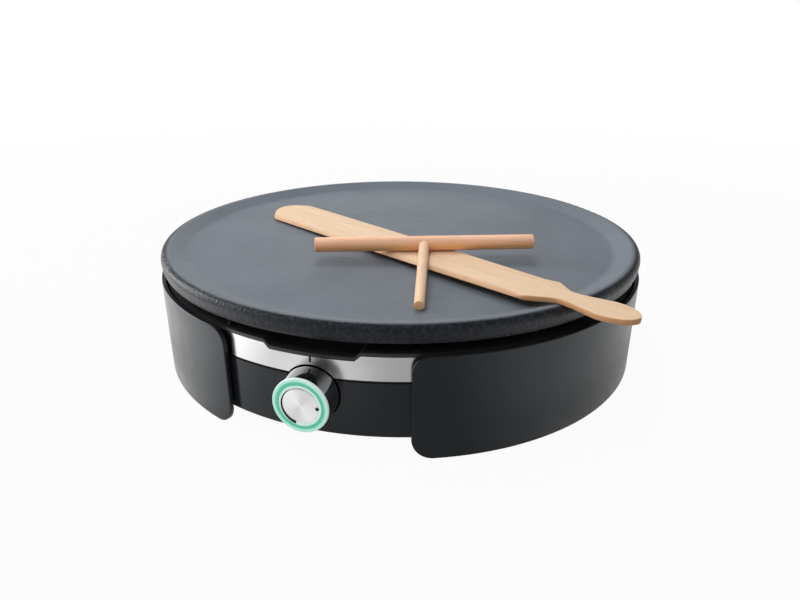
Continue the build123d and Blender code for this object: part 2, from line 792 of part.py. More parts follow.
# ================================================================ side panels
panel_half = 90 - panel_gap_angle
with BuildPart() as side_panel_right:
    with BuildSketch(Plane.XY.offset(panel_bottom)):
        with BuildLine():
            outer_arc = CenterArc((0, 0), panel_radius, -panel_half, 2 * panel_half)
            inner_arc = CenterArc((0, 0), panel_inner, -panel_half, 2 * panel_half)
            Line(outer_arc @ 0, inner_arc @ 0)
            Line(outer_arc @ 1, inner_arc @ 1)
        make_face()
    extrude(amount=panel_top - panel_bottom)
    end_edges = side_panel_right.edges().filter_by(GeomType.LINE).filter_by(Axis.Z, reverse=True)
    fillet(end_edges.group_by(Axis.Z)[0], panel_bottom_round)
    end_edges = side_panel_right.edges().filter_by(GeomType.LINE).filter_by(Axis.Z, reverse=True)
    fillet(end_edges.group_by(Axis.Z)[-1], panel_top_round)
    outer_face = side_panel_right.faces().filter_by(GeomType.CYLINDER).sort_by(SortBy.AREA)[-1]
    fillet(outer_face.edges(), panel_edge_round)
    # bosses that stand the panel off the drum
    for angle, height in panel_screw_places[: len(panel_screw_places) // 2]:
        with BuildSketch(radial_plane(angle, wall_inner, height)):
            Circle(panel_boss_radius)
        extrude(amount=panel_inner - wall_inner + 1)
    for angle, height in panel_screw_places[: len(panel_screw_places) // 2]:
        with BuildSketch(radial_plane(angle, wall_inner - 1, height)):
            Circle(panel_screw_radius + seat_gap / 2)
        extrude(amount=panel_radius - panel_skin - wall_inner + 1, mode=Mode.SUBTRACT)
    with BuildSketch(Plane.XY.offset(panel_bottom)):
        Circle(base_radius + seat_gap)
    extrude(amount=panel_top - panel_bottom, mode=Mode.SUBTRACT)
save(side_panel_right.part, "side_panel_right")

with BuildPart() as side_panel_left:
    add(mirror(side_panel_right.part, about=Plane.YZ))
save(side_panel_left.part, "side_panel_left")

panel_screw = screw(
    panel_screw_radius,
    panel_screw_end - wall_inner + seat_gap,
    panel_screw_head_radius,
    panel_screw_head_height,
)
with BuildPart() as panel_screws:
    for angle, height in panel_screw_places:
        with Locations(radial_plane(angle, wall_inner - seat_gap, height)):
            add(panel_screw)
save(panel_screws.part, "panel_screws")

# ================================================================ knob well and light
with BuildPart() as knob_well:
    with BuildSketch(front_plane(well_back)):
        Circle(well_outer)
    extrude(amount=base_radius - well_back)
    with BuildSketch(front_plane(well_floor_face)):
        Circle(knob_opening)
    extrude(amount=base_radius - well_floor_face, mode=Mode.SUBTRACT)
    with BuildSketch(front_plane(well_back)):
        Circle(bushing_radius + seat_gap)
    extrude(amount=well_floor, mode=Mode.SUBTRACT)
    with BuildSketch(Plane.XY.offset(knob_height - well_outer - 1)):
        Circle(wall_inner - seat_gap)
    extrude(amount=2 * well_outer + 2, mode=Mode.INTERSECT)
save(knob_well.part, "knob_well")

with BuildPart() as led_board:
    with BuildSketch(front_plane(well_floor_face)):
        Circle(knob_opening - lift_gap)
        Circle(board_hole_radius, mode=Mode.SUBTRACT)
    extrude(amount=board_thickness)
save(led_board.part, "led_board")

with BuildPart() as led_lamps:
    with BuildSketch(front_plane(well_floor_face + board_thickness)):
        with PolarLocations(led_circle, led_count):
            Rectangle(led_size, led_size)
    extrude(amount=led_height)
save(led_lamps.part, "led_lamps")

# ================================================================ thermostat
with BuildPart() as thermostat_bracket:
    with BuildSketch(Plane.YZ.offset(-bracket_width / 2)) as bracket_section:
        with BuildLine():
            Polyline(
                (-well_back, cover_top),
                (-well_back + bracket_foot, cover_top),
                (-well_back + bracket_foot, cover_top + bracket_sheet),
                (-bracket_back, cover_top + bracket_sheet),
                (-bracket_back, bracket_top),
                (-well_back, bracket_top),
                close=True,
            )
        make_face()
        fillet(corner(bracket_section, -well_back, cover_top), bracket_sheet)
    extrude(amount=bracket_width)
    with BuildSketch(front_plane(bracket_back)):
        Circle(bushing_radius + seat_gap)
    extrude(amount=bracket_sheet, mode=Mode.SUBTRACT)
    with BuildSketch(Plane.XY.offset(cover_top)):
        for side in (-0.5, 0.5):
            with Locations((side * bracket_screw_spread, -bracket_back + bracket_foot / 2)):
                Circle(cover_screw_radius + seat_gap)
    extrude(amount=bracket_sheet, mode=Mode.SUBTRACT)
save(thermostat_bracket.part, "thermostat_bracket")

bracket_screw = screw(
    cover_screw_radius, bracket_screw_length, cover_screw_head_radius, cover_screw_head_height
)
with BuildPart() as bracket_screws:
    for side in (-0.5, 0.5):
        with Locations((side * bracket_screw_spread, -bracket_back + bracket_foot / 2, base_bottom)):
            add(bracket_screw)
        with Locations((side * block_screw_spread, block_offset, base_bottom)):
            add(bracket_screw)
save(bracket_screws.part, "bracket_screws")

with BuildPart() as thermostat_body:
    with BuildSketch(front_plane(bracket_back - thermostat_depth)):
        RectangleRounded(thermostat_width, thermostat_height, thermostat_round)
    extrude(amount=thermostat_depth)
    with BuildSketch(front_plane(bracket_back)):
        Circle(bushing_radius)
    extrude(amount=bushing_length)
    with BuildSketch(front_plane(bracket_back - shaft_in_body - seat_gap)):
        Circle(shaft_radius + run_gap)
    extrude(amount=shaft_in_body + bushing_length + seat_gap, mode=Mode.SUBTRACT)
    with BuildSketch(front_plane(bracket_back - thermostat_depth)):
        for side in (-0.5, 0.5):
            with Locations((side * thermostat_width / 2, 0)):
                Rectangle(blade_sheet, blade_width)
    extrude(amount=-blade_reach)
save(thermostat_body.part, "thermostat_body")

with BuildPart() as thermostat_nut:
    with BuildSketch(front_plane(well_floor_face)):
        RegularPolygon(radius=bushing_nut_width / 2, side_count=6, major_radius=False)
        Circle(bushing_radius + seat_gap, mode=Mode.SUBTRACT)
    extrude(amount=bushing_nut_height)
save(thermostat_nut.part, "thermostat_nut")

with BuildPart() as knob_shaft:
    with BuildSketch(front_plane(bracket_back - shaft_in_body)):
        Circle(shaft_radius)
    extrude(amount=knob_back + shaft_in_knob - bracket_back + shaft_in_body)
    with BuildSketch(front_plane(knob_back)):
        with Locations((0, shaft_radius - shaft_flat / 2)):
            Rectangle(2 * shaft_radius, shaft_flat)
    extrude(amount=shaft_in_knob, mode=Mode.SUBTRACT)
save(knob_shaft.part, "knob_shaft")

# ================================================================ knob
with BuildPart() as knob_sleeve:
    with BuildSketch(front_plane(knob_back)):
        Circle(knob_radius)
        Circle(light_ring_radius + ring_play, mode=Mode.SUBTRACT)
    extrude(amount=knob_depth - bezel_depth)
save(knob_sleeve.part, "knob_sleeve")

with BuildPart() as knob_bezel:
    with BuildSketch(front_plane(knob_face - bezel_depth)):
        Circle(knob_radius)
        Circle(light_ring_radius + ring_play, mode=Mode.SUBTRACT)
    extrude(amount=bezel_depth)
    rim_edges = knob_bezel.edges().filter_by(GeomType.CIRCLE).group_by(Axis.Y)[0]
    fillet(rim_edges.sort_by(SortBy.RADIUS)[-1], bezel_round)
save(knob_bezel.part, "knob_bezel")

with BuildPart() as knob_light_ring:
    with BuildSketch(front_plane(knob_back + 1)):
        Circle(light_ring_radius)
        Circle(dial_ring_radius + ring_play, mode=Mode.SUBTRACT)
    extrude(amount=knob_depth - 1 - light_ring_setback)
save(knob_light_ring.part, "knob_light_ring")

with BuildPart() as knob_core:
    with BuildSketch(front_plane(core_back)):
        Circle(dial_ring_radius)
    extrude(amount=knob_face - dial_ring_setback - core_back)
    with BuildSketch(front_plane(core_back + core_plate)):
        Circle(dial_cap_radius + ring_play)
    extrude(amount=knob_face - core_back - core_plate, mode=Mode.SUBTRACT)
    with BuildSketch(front_plane(knob_back)):
        Circle(hub_radius)
    extrude(amount=core_back - knob_back)
    with BuildSketch(front_plane(knob_back)):
        Circle(shaft_radius + run_gap)
        with Locations((0, shaft_radius - shaft_flat / 2 + run_gap)):
            Rectangle(3 * shaft_radius, shaft_flat, mode=Mode.SUBTRACT)
    extrude(amount=shaft_in_knob + seat_gap, mode=Mode.SUBTRACT)
save(knob_core.part, "knob_core")

with BuildPart() as knob_cap:
    with BuildSketch(front_plane(core_back + core_plate)):
        Circle(dial_cap_radius)
    extrude(amount=dial_cap_thickness)
    cap_edges = knob_cap.edges().filter_by(GeomType.CIRCLE).group_by(Axis.Y)[0]
    chamfer(cap_edges, 0.2)
save(knob_cap.part, "knob_cap")

# ================================================================ mains inlet
with BuildPart() as cord_gland:
    with BuildSketch(Plane.YZ) as gland_section:
        with BuildLine():
            Polyline(
                (wall_inner - gland_tail, gland_height + gland_bore),
                (gland_reach, gland_height + gland_bore),
                (gland_reach, gland_height + gland_tip_radius),
                (base_radius + seat_gap + gland_flange, gland_height + gland_neck_radius),
                (base_radius + seat_gap + gland_flange, gland_height + gland_flange_radius),
                (base_radius + seat_gap, gland_height + gland_flange_radius),
                (base_radius + seat_gap, gland_height + gland_body_radius),
                (wall_inner - lift_gap, gland_height + gland_body_radius),
                (wall_inner - lift_gap, gland_height + gland_latch_radius),
                (wall_inner - lift_gap - gland_latch, gland_height + gland_body_radius),
                (wall_inner - gland_tail, gland_height + gland_body_radius),
                close=True,
            )
        make_face()
    revolve(axis=Axis((0, 0, gland_height), (0, 1, 0)))
save(cord_gland.part, "cord_gland")

with BuildPart() as cord_cradle:
    with BuildSketch(Plane.XY.offset(cover_top)):
        with Locations((0, cradle_offset)):
            RectangleRounded(cradle_length, cradle_width, block_round)
    extrude(amount=gland_height - cradle_nip / 2 - cover_top)
    with BuildSketch(Plane.XZ.offset(-cradle_offset - cradle_width / 2)):
        with Locations((0, gland_height)):
            Circle(lead_grip)
    extrude(amount=cradle_width, mode=Mode.SUBTRACT)
    with BuildSketch(Plane.XY.offset(cover_top)):
        for side in (-0.5, 0.5):
            with Locations((side * cradle_screw_spread, cradle_offset)):
                Circle(cradle_screw_radius + seat_gap)
    extrude(amount=gland_height - cover_top, mode=Mode.SUBTRACT)
save(cord_cradle.part, "cord_cradle")

with BuildPart() as cord_clamp:
    with BuildSketch(Plane.XY.offset(bar_slot_height)):
        with Locations((0, cradle_offset)):
            RectangleRounded(cradle_length, cradle_width, block_round)
    extrude(amount=clamp_bar_height)
    with BuildSketch(Plane.XZ.offset(-cradle_offset - cradle_width / 2)):
        with Locations((0, gland_height)):
            Circle(lead_grip)
    extrude(amount=cradle_width, mode=Mode.SUBTRACT)
    with BuildSketch(Plane.XY.offset(bar_slot_height)):
        for side in (-0.5, 0.5):
            with Locations((side * cradle_screw_spread, cradle_offset)):
                Circle(cradle_screw_radius + seat_gap)
    extrude(amount=clamp_bar_height, mode=Mode.SUBTRACT)
save(cord_clamp.part, "cord_clamp")

cradle_screw = screw(
    cradle_screw_radius,
    bar_slot_height + clamp_bar_height - base_bottom,
    cover_screw_head_radius,
    cover_screw_head_height,
)
with BuildPart() as cradle_screws:
    for side in (-0.5, 0.5):
        with Locations((side * cradle_screw_spread, cradle_offset, base_bottom)):
            add(cradle_screw)
save(cradle_screws.part, "cradle_screws")

way_pitch = block_length / block_ways
way_places = [(way_pitch * (n - (block_ways - 1) / 2), block_offset) for n in range(block_ways)]
with BuildPart() as terminal_block:
    with BuildSketch(Plane.XY.offset(cover_top)):
        with Locations((0, block_offset)):
            RectangleRounded(block_length, block_width, block_round)
    extrude(amount=block_height)
    with BuildSketch(Plane.XY.offset(cover_top + insert_floor)):
        with Locations(*way_places):
            Rectangle(insert_width + 2 * seat_gap, block_width)
    extrude(amount=insert_height + seat_gap, mode=Mode.SUBTRACT)
    with BuildSketch(Plane.XY.offset(cover_top + insert_floor)):
        with Locations(*way_places):
            with Locations((0, -block_width / 4), (0, block_width / 4)):
                Circle(insert_screw_radius + screw_play)
    extrude(amount=block_height - insert_floor, mode=Mode.SUBTRACT)
    with BuildSketch(Plane.XY.offset(cover_top)):
        for side in (-0.5, 0.5):
            with Locations((side * block_screw_spread, block_offset)):
                Circle(cover_screw_radius + seat_gap)
    extrude(amount=bracket_screw_length, mode=Mode.SUBTRACT)
save(terminal_block.part, "terminal_block")

with BuildPart() as terminal_inserts:
    with BuildSketch(Plane.XY.offset(cover_top + insert_floor)):
        with Locations(*way_places):
            Rectangle(insert_width, block_width - 2)
    extrude(amount=insert_height)
    with BuildSketch(Plane.XZ.offset(-block_offset - block_width / 2)):
        with Locations(*[(x, cover_top + insert_floor + insert_height / 2) for x, y in way_places]):
            Circle(insert_screw_radius)
    extrude(amount=block_width, mode=Mode.SUBTRACT)
save(terminal_inserts.part, "terminal_inserts")

# ================================================================ spatula
board_origin = Vector(*board_place, 0) * plate_radius
board_heading = Vector(cos(radians(board_angle)), sin(radians(board_angle)), 0)
board_lag = board_origin.dot(board_heading)
board_offset = (board_origin - board_heading * board_lag).length
board_crest_reach = sqrt(crest_inner**2 - board_offset**2) - board_lag - board_edge_lead
board_rise = degrees(asin(dish_depth / (board_crest_reach + tip_reach)))
board_base = cook_height + lift_gap + tip_reach * tan(radians(board_rise))
board_along = Vector(
    cos(radians(board_angle)) * cos(radians(board_rise)),
    sin(radians(board_angle)) * cos(radians(board_rise)),
    sin(radians(board_rise)),
)
board_across = Vector(-sin(radians(board_angle)), cos(radians(board_angle)), 0)
board_normal = board_along.cross(board_across)
board_start = Vector(board_origin.X, board_origin.Y, board_base)
board_plane = Plane(origin=board_start, x_dir=board_along, z_dir=board_normal)
board_profile = Plane(origin=board_start, x_dir=board_along, z_dir=-board_across)
board_end = Plane(
    origin=board_start - board_along * (tip_reach + 5), x_dir=board_across, z_dir=board_along
)
handle_end = blade_length + handle_length

with BuildPart() as spatula:
    with BuildSketch(board_plane):
        with BuildLine():
            near_corner = (4, -blade_near[0])
            tip_point = (-tip_reach, tip_lean)
            far_corner = (-6, blade_far[0])
            ThreePointArc(near_corner, (-tip_reach * 0.55, -blade_near[0] * 0.46), tip_point)
            ThreePointArc(tip_point, (-tip_reach * 0.87, blade_far[0] * 0.84), far_corner)
            far_shoulder = (blade_length, blade_far[2])
            near_shoulder = (blade_length - 3, -blade_near[2])
            ThreePointArc(far_corner, (blade_length / 2, blade_far[1]), far_shoulder)
            ThreePointArc(near_shoulder, (blade_length / 2, -blade_near[1]), near_corner)
            Spline(
                far_shoulder,
                (blade_length + neck_reach, handle_offset + neck_half),
                (blade_length + grip_reach, handle_offset + grip_half),
                (handle_end, handle_offset),
                (blade_length + grip_reach, handle_offset - grip_half),
                (blade_length + neck_reach, handle_offset - neck_half),
                near_shoulder,
                tangents=((1, -0.06), (-1, -0.04)),
            )
        make_face()
    extrude(amount=board_crown + 2)
    # crowned top: thick on the centre line, thin at the edges
    with BuildSketch(board_end):
        with Locations((board_crown_offset, board_crown - board_crown_radius)):
            Circle(board_crown_radius)
    extrude(amount=handle_end + tip_reach + 10, mode=Mode.INTERSECT)
    with BuildSketch(board_profile):
        with BuildLine():
            Polyline(
                (-tip_reach - 1, board_crown - tip_bevel_depth),
                (tip_bevel_length - tip_reach, board_crown),
                (-tip_reach - 1, board_crown + 1),
                close=True,
            )
        make_face()
    extrude(amount=2 * blade_far[0], both=True, mode=Mode.SUBTRACT)
save(spatula.part, "spatula")


def board_top(x, y):
    """Height of the board's crown line plane above a point of the plate."""
    reach = (Vector(x, y, 0) - board_origin).dot(board_along)
    return board_base + board_crown + reach * tan(radians(board_rise))


# ================================================================ spreader
bar_centre = (plate_radius * bar_place[0], plate_radius * bar_place[1])
bar_level = Vector(cos(radians(bar_angle)), sin(radians(bar_angle)), 0)
bar_rise = board_top(bar_centre[0] + bar_level.X, bar_centre[1] + bar_level.Y) - board_top(*bar_centre)
bar_along = Vector(bar_level.X, bar_level.Y, bar_rise).normalized()
bar_middle = Vector(*bar_centre, board_top(*bar_centre) + bar_radius + lift_gap)
grip_level = Vector(cos(radians(spreader_handle_angle)), sin(radians(spreader_handle_angle)), 0)
grip_drop = bar_middle.Z - (cook_height + lift_gap + handle_end_radius)
grip_pitch = asin(grip_drop / spreader_handle_length)
grip_along = grip_level * cos(grip_pitch) + Vector(0, 0, -sin(grip_pitch))
bar_start = Plane(origin=bar_middle - bar_along * (bar_length / 2), z_dir=bar_along)
grip_root = Plane(origin=bar_middle + grip_along * (bar_radius - bar_socket), z_dir=grip_along)
grip_tip = Plane(origin=bar_middle + grip_along * spreader_handle_length, z_dir=grip_along)

with BuildPart() as spreader_bar:
    with BuildSketch(bar_start):
        Circle(bar_radius)
    extrude(amount=bar_length)
    chamfer(spreader_bar.edges().filter_by(GeomType.CIRCLE), 0.5)
    with BuildSketch(Plane(origin=grip_root.origin, z_dir=grip_along)):
        Circle(handle_root_radius + seat_gap)
    extrude(amount=2 * bar_radius, mode=Mode.SUBTRACT)
save(spreader_bar.part, "spreader_bar")

with BuildPart() as spreader_handle:
    with BuildSketch(grip_root.offset(seat_gap)):
        Circle(handle_root_radius)
    with BuildSketch(grip_tip):
        Circle(handle_end_radius)
    loft()
save(spreader_handle.part, "spreader_handle")
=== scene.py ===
import bmesh
import bpy
from math import atan2, cos, degrees, hypot, pi, radians, sin, sqrt
from mathutils import Euler, Matrix, Vector


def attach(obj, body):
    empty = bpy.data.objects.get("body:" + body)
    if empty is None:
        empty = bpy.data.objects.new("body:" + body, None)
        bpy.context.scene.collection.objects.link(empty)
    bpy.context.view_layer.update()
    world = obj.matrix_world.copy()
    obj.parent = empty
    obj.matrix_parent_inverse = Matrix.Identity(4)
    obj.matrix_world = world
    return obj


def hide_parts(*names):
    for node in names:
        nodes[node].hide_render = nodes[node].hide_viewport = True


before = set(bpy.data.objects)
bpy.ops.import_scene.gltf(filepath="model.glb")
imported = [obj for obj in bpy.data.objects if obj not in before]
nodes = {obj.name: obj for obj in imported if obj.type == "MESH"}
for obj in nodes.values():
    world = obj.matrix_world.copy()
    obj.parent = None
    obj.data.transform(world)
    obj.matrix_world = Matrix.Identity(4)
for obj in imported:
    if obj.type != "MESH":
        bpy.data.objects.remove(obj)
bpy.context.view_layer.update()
scene = bpy.context.scene
print("frame loaded,", len(nodes), "nodes")

# camera
cameraSetup = {
    "place": (0.14012, -0.46221, 0.22733),
    "target": (-0.00028, -0.00008, 0.02503),
    "lens": 29.46,
    "sensor": 36,
    "roll": 0.18,
    "clip": (0.01, 50),
}


def standing(place, along, axis="Z"):
    # the matrix that carries an axis onto a direction, at a place
    return Matrix.Translation(place) @ Vector(along).to_track_quat(axis, "Y").to_matrix().to_4x4()


def makeCamera():
    data = bpy.data.cameras.new("tableCamera")
    data.lens = cameraSetup["lens"]
    data.sensor_width = cameraSetup["sensor"]
    data.clip_start, data.clip_end = cameraSetup["clip"]
    camera = bpy.data.objects.new("tableCamera", data)
    scene.collection.objects.link(camera)
    aim = Vector(cameraSetup["target"]) - Vector(cameraSetup["place"])
    roll = Matrix.Rotation(radians(cameraSetup["roll"]), 4, "Z")
    camera.matrix_world = standing(cameraSetup["place"], aim, "-Z") @ roll
    scene.camera = camera


makeCamera()
print("camera placed")


# node helpers: a value that is a socket is linked, anything else is set
def put(tree, kind, values=None, **options):
    made = tree.nodes.new(kind)
    for name, value in options.items():
        setattr(made, name, value)
    for name, value in (values or {}).items():
        if isinstance(value, bpy.types.NodeSocket):
            tree.links.new(value, made.inputs[name])
        else:
            made.inputs[name].default_value = value
    return made


def calc(tree, operation, a, b=0.0):
    return put(tree, "ShaderNodeMath", {0: a, 1: b}, operation=operation).outputs[0]


def mixColour(tree, factor, first, second, blend="MIX"):
    values = {0: factor, 6: first, 7: second}
    return put(tree, "ShaderNodeMix", values, data_type="RGBA", blend_type=blend).outputs[2]


def remap(tree, value, low, high, newLow=0.0, newHigh=1.0, smooth=False):
    values = {"Value": value, "From Min": low, "From Max": high, "To Min": newLow, "To Max": newHigh}
    kind = "SMOOTHSTEP" if smooth else "LINEAR"
    return put(tree, "ShaderNodeMapRange", values, interpolation_type=kind).outputs["Result"]


def shade(colour, share=1.0):
    # the colour times one share, or times one for each of its parts, and its alpha
    shares = share if isinstance(share, tuple) else (share, share, share)
    return (*(part * by for part, by in zip(colour, shares)), 1)


def ramp(tree, factor, stops):
    made = put(tree, "ShaderNodeValToRGB", {"Fac": factor})
    marks = made.color_ramp.elements
    while len(marks) < len(stops):
        marks.new(0.5)
    for mark, (place, tone) in zip(marks, stops):
        mark.position = place
        mark.color = shade(tone if isinstance(tone, tuple) else (tone, tone, tone))
    return made.outputs["Color"]


def noise(tree, vector, scale, detail=2.0, roughness=0.5, **values):
    sockets = {"Vector": vector, "Scale": scale, "Detail": detail, "Roughness": roughness}
    return put(tree, "ShaderNodeTexNoise", {**sockets, **values}).outputs["Fac"]


def mottled(tree, factor, colour, shares):
    # wanders between two shades of one colour
    return mixColour(tree, remap(tree, factor, *noiseSpan), *(shade(colour, share) for share in shares))


def bump(tree, height, distance, strength=1.0, under=None):
    values = {"Height": height, "Distance": distance, "Strength": strength}
    if under:
        values["Normal"] = under
    return put(tree, "ShaderNodeBump", values).outputs["Normal"]


def mapped(tree, vector, **values):
    return put(tree, "ShaderNodeMapping", {"Vector": vector, **values}).outputs[0]


def objectCoords(tree):
    return put(tree, "ShaderNodeTexCoord").outputs["Object"]


def splitCoords(tree, vector):
    return put(tree, "ShaderNodeSeparateXYZ", {"Vector": vector}).outputs


def apart(tree, a, b):
    # distance along two legs at right angles
    square = calc(tree, "ADD", calc(tree, "POWER", a, 2.0), calc(tree, "POWER", b, 2.0))
    return calc(tree, "SQRT", square)


def startMaterial(name, settings):
    material = bpy.data.materials.new(name)
    material.use_nodes = True
    shader = material.node_tree.nodes["Principled BSDF"]
    for socket, value in settings.items():
        shader.inputs[socket].default_value = shade(value) if isinstance(value, tuple) else value
    return material, material.node_tree, shader


def feed(tree, shader, **sources):
    names = {"colour": "Base Color", "rough": "Roughness", "normal": "Normal", "tangent": "Tangent"}
    names.update({"glow": "Emission Color", "glowStrength": "Emission Strength"})
    for name, source in sources.items():
        tree.links.new(source, shader.inputs[names[name]])


noiseSpan = (0.3, 0.7)  # where most of a noise texture's values lie

# cast plate's coating: smooth in the dish, pebbled on the rim, its outer wall darkened by painted shade
coating = {
    "pale": (0.156, 0.177, 0.202),
    "dark": (0.138, 0.157, 0.181),
    # painted shade: the rim's outer wall is coloured far darker than the dish, standing in for the shade on
    # it
    "wall": (0.0180, 0.0203, 0.0250),
    "wallReach": (0.1692, 0.1723),
    "specular": 0.26,
    "rough": (0.50, 0.58),
    "roughScale": 120.0,
    "wallRough": 0.40,
    "patchScale": 14.0,
    "patchSpan": (0.35, 0.65),
    "fineScale": 1500.0,
    "fineDepth": 0.00001,
    "fineShare": 0.6,
    "speck": [(0.3, 0.86), (0.55, 1), (0.74, 1.25)],
    "pebbleScale": 520.0,
    "pebbleDepth": 0.00060,
    "pebbleShare": (0.05, 0.85),  # on the dish, on the rim
    "pebbleReach": (0.1665, 0.1725),
    "grit": [(0.35, 0.72), (0.52, 1), (0.68, 1.8)],
}


def coatingMaterial():
    material, tree, shader = startMaterial("slateCoating", {"Specular IOR Level": coating["specular"]})
    coords = objectCoords(tree)
    parts = splitCoords(tree, coords)
    reach = apart(tree, parts["X"], parts["Y"])
    patches = noise(tree, coords, coating["patchScale"], detail=4.0, roughness=0.6)
    fine = noise(tree, coords, coating["fineScale"], detail=2.0, roughness=0.6)
    pebbles = noise(tree, coords, coating["pebbleScale"], detail=2.5, roughness=0.55)
    blotches = remap(tree, patches, *coating["patchSpan"])
    colour = mixColour(tree, blotches, shade(coating["dark"]), shade(coating["pale"]))
    # painted shade: past this reach the coating takes the much darker wall colour
    outer = remap(tree, reach, *coating["wallReach"], smooth=True)
    colour = mixColour(tree, outer, colour, shade(coating["wall"]))
    colour = mixColour(tree, coating["fineShare"], colour, ramp(tree, fine, coating["speck"]), "MULTIPLY")
    gritty = mixColour(tree, 1.0, colour, ramp(tree, pebbles, coating["grit"]), "MULTIPLY")
    colour = mixColour(tree, outer, colour, gritty)
    onRim = remap(tree, reach, *coating["pebbleReach"], *coating["pebbleShare"], smooth=True)
    normal = bump(tree, pebbles, coating["pebbleDepth"], onRim)
    normal = bump(tree, fine, coating["fineDepth"], coating["fineShare"], under=normal)
    worn = noise(tree, coords, coating["roughScale"], detail=4.0, roughness=0.6)
    rough = remap(tree, worn, *noiseSpan, *coating["rough"])
    toWall = calc(tree, "MULTIPLY", outer, calc(tree, "SUBTRACT", coating["wallRough"], rough))
    feed(tree, shader, colour=colour, rough=calc(tree, "ADD", rough, toWall), normal=normal)
    return material


# moulded plastics: grain and wave are a scale and a depth
plastics = {
    "panelSatin": {
        "colour": (0.0138, 0.0150, 0.0172), "specular": 0.36, "rough": (0.30, 0.36),
        "grain": (900.0, 0.000012), "wave": (45.0, 0.00003),
    },
    "drumGloss": {
        "colour": (0.0150, 0.0165, 0.0200), "specular": 0.36, "rough": (0.17, 0.24),
        "grain": (1200.0, 0.000006), "wave": (50.0, 0.00002),
    },
    "deckSatin": {
        "colour": (0.026, 0.027, 0.029), "specular": 0.5, "rough": (0.30, 0.40),
        "grain": (1400.0, 0.00003), "wave": (60.0, 0.00001),
    },
    "coverTextured": {
        "colour": (0.018, 0.018, 0.019), "specular": 0.4, "rough": (0.50, 0.62),
        "grain": (1500.0, 0.00009), "wave": (40.0, 0.00002),
    },
    "footRubber": {
        "colour": (0.022, 0.022, 0.022), "specular": 0.3, "rough": (0.66, 0.80),
        "grain": (1800.0, 0.00007), "wave": (120.0, 0.00002),
    },
    "glandRubber": {
        "colour": (0.020, 0.020, 0.021), "specular": 0.35, "rough": (0.52, 0.64),
        "grain": (1500.0, 0.00005), "wave": (150.0, 0.00002),
    },
    "thermostatResin": {
        "colour": (0.55, 0.50, 0.40), "specular": 0.45, "rough": (0.40, 0.52),
        "grain": (1500.0, 0.00003), "wave": (150.0, 0.00002),
    },
    "terminalResin": {
        "colour": (0.72, 0.69, 0.58), "specular": 0.5, "rough": (0.34, 0.44),
        "grain": (2000.0, 0.00002), "wave": (150.0, 0.00002),
    },
    "boardGreen": {
        "colour": (0.03, 0.16, 0.07), "specular": 0.6, "rough": (0.22, 0.34),
        "grain": (3000.0, 0.00002), "wave": (200.0, 0.00001),
    },
    "lampLens": {
        "colour": (0.74, 0.90, 0.80), "specular": 0.6, "rough": (0.10, 0.18),
        "grain": (3000.0, 0.00001), "wave": (300.0, 0.00001),
    },
    "markBlack": {
        "colour": (0.010, 0.010, 0.011), "specular": 0.4, "rough": (0.42, 0.52),
        "grain": (4000.0, 0.00001), "wave": (400.0, 0.00001),
    },
}
plasticShared = {"shades": (0.90, 1.10), "cloudScale": 30.0, "cloudDetail": 3.0, "roughScale": 90.0}
plasticTint = (0.90, 0.96, 1.0)

# metals
metals = {
    "zincPlate": {"colour": (0.60, 0.61, 0.62), "rough": (0.30, 0.44), "grain": (1300.0, 0.00002)},
    "blackOxide": {"colour": (0.05, 0.05, 0.052), "rough": (0.36, 0.50), "grain": (1300.0, 0.00002)},
    "reflectorSheet": {"colour": (0.74, 0.74, 0.73), "rough": (0.18, 0.32), "grain": (700.0, 0.00001)},
    "elementSheath": {"colour": (0.20, 0.19, 0.18), "rough": (0.46, 0.60), "grain": (1600.0, 0.00004)},
    "drawnCopper": {"colour": (0.80, 0.42, 0.28), "rough": (0.26, 0.40), "grain": (1600.0, 0.00002)},
    "turnedBrass": {"colour": (0.72, 0.52, 0.24), "rough": (0.24, 0.36), "grain": (1600.0, 0.00002)},
    "fuseCase": {"colour": (0.70, 0.70, 0.68), "rough": (0.34, 0.46), "grain": (1600.0, 0.00002)},
    "knobMirror": {"colour": (0.46, 0.47, 0.49), "rough": (0.05, 0.09), "grain": (600.0, 0.000003)},
}
metalShared = {"shades": (0.92, 1.06), "cloudScale": 140.0, "cloudDetail": 4.0, "roughScale": 260.0}


def grainyMaterial(name, sizes, shared, settings):
    material, tree, shader = startMaterial(name, settings)
    coords = objectCoords(tree)
    clouds = noise(tree, coords, shared["cloudScale"], detail=shared["cloudDetail"])
    tone = mottled(tree, clouds, sizes["colour"], shared["shades"])
    worn = noise(tree, coords, shared["roughScale"], detail=4.0, roughness=0.65)
    rough = remap(tree, worn, *noiseSpan, *sizes["rough"])
    normal = None
    if "wave" in sizes:
        scale, depth = sizes["wave"]
        normal = bump(tree, noise(tree, coords, scale, detail=1.0), depth)
    scale, depth = sizes["grain"]
    normal = bump(tree, noise(tree, coords, scale, detail=3.0, roughness=0.6), depth, under=normal)
    feed(tree, shader, colour=tone, rough=rough, normal=normal)
    return material


# steel band: grain that runs round the drum
brushed = {
    "colour": (0.80, 0.80, 0.795),
    "shades": (0.88, 1.0),
    "radius": 0.1711,
    "lengthScale": 26.0,
    "heightScale": 5200.0,
    "depth": 0.000008,
    "rough": (0.16, 0.25),
}


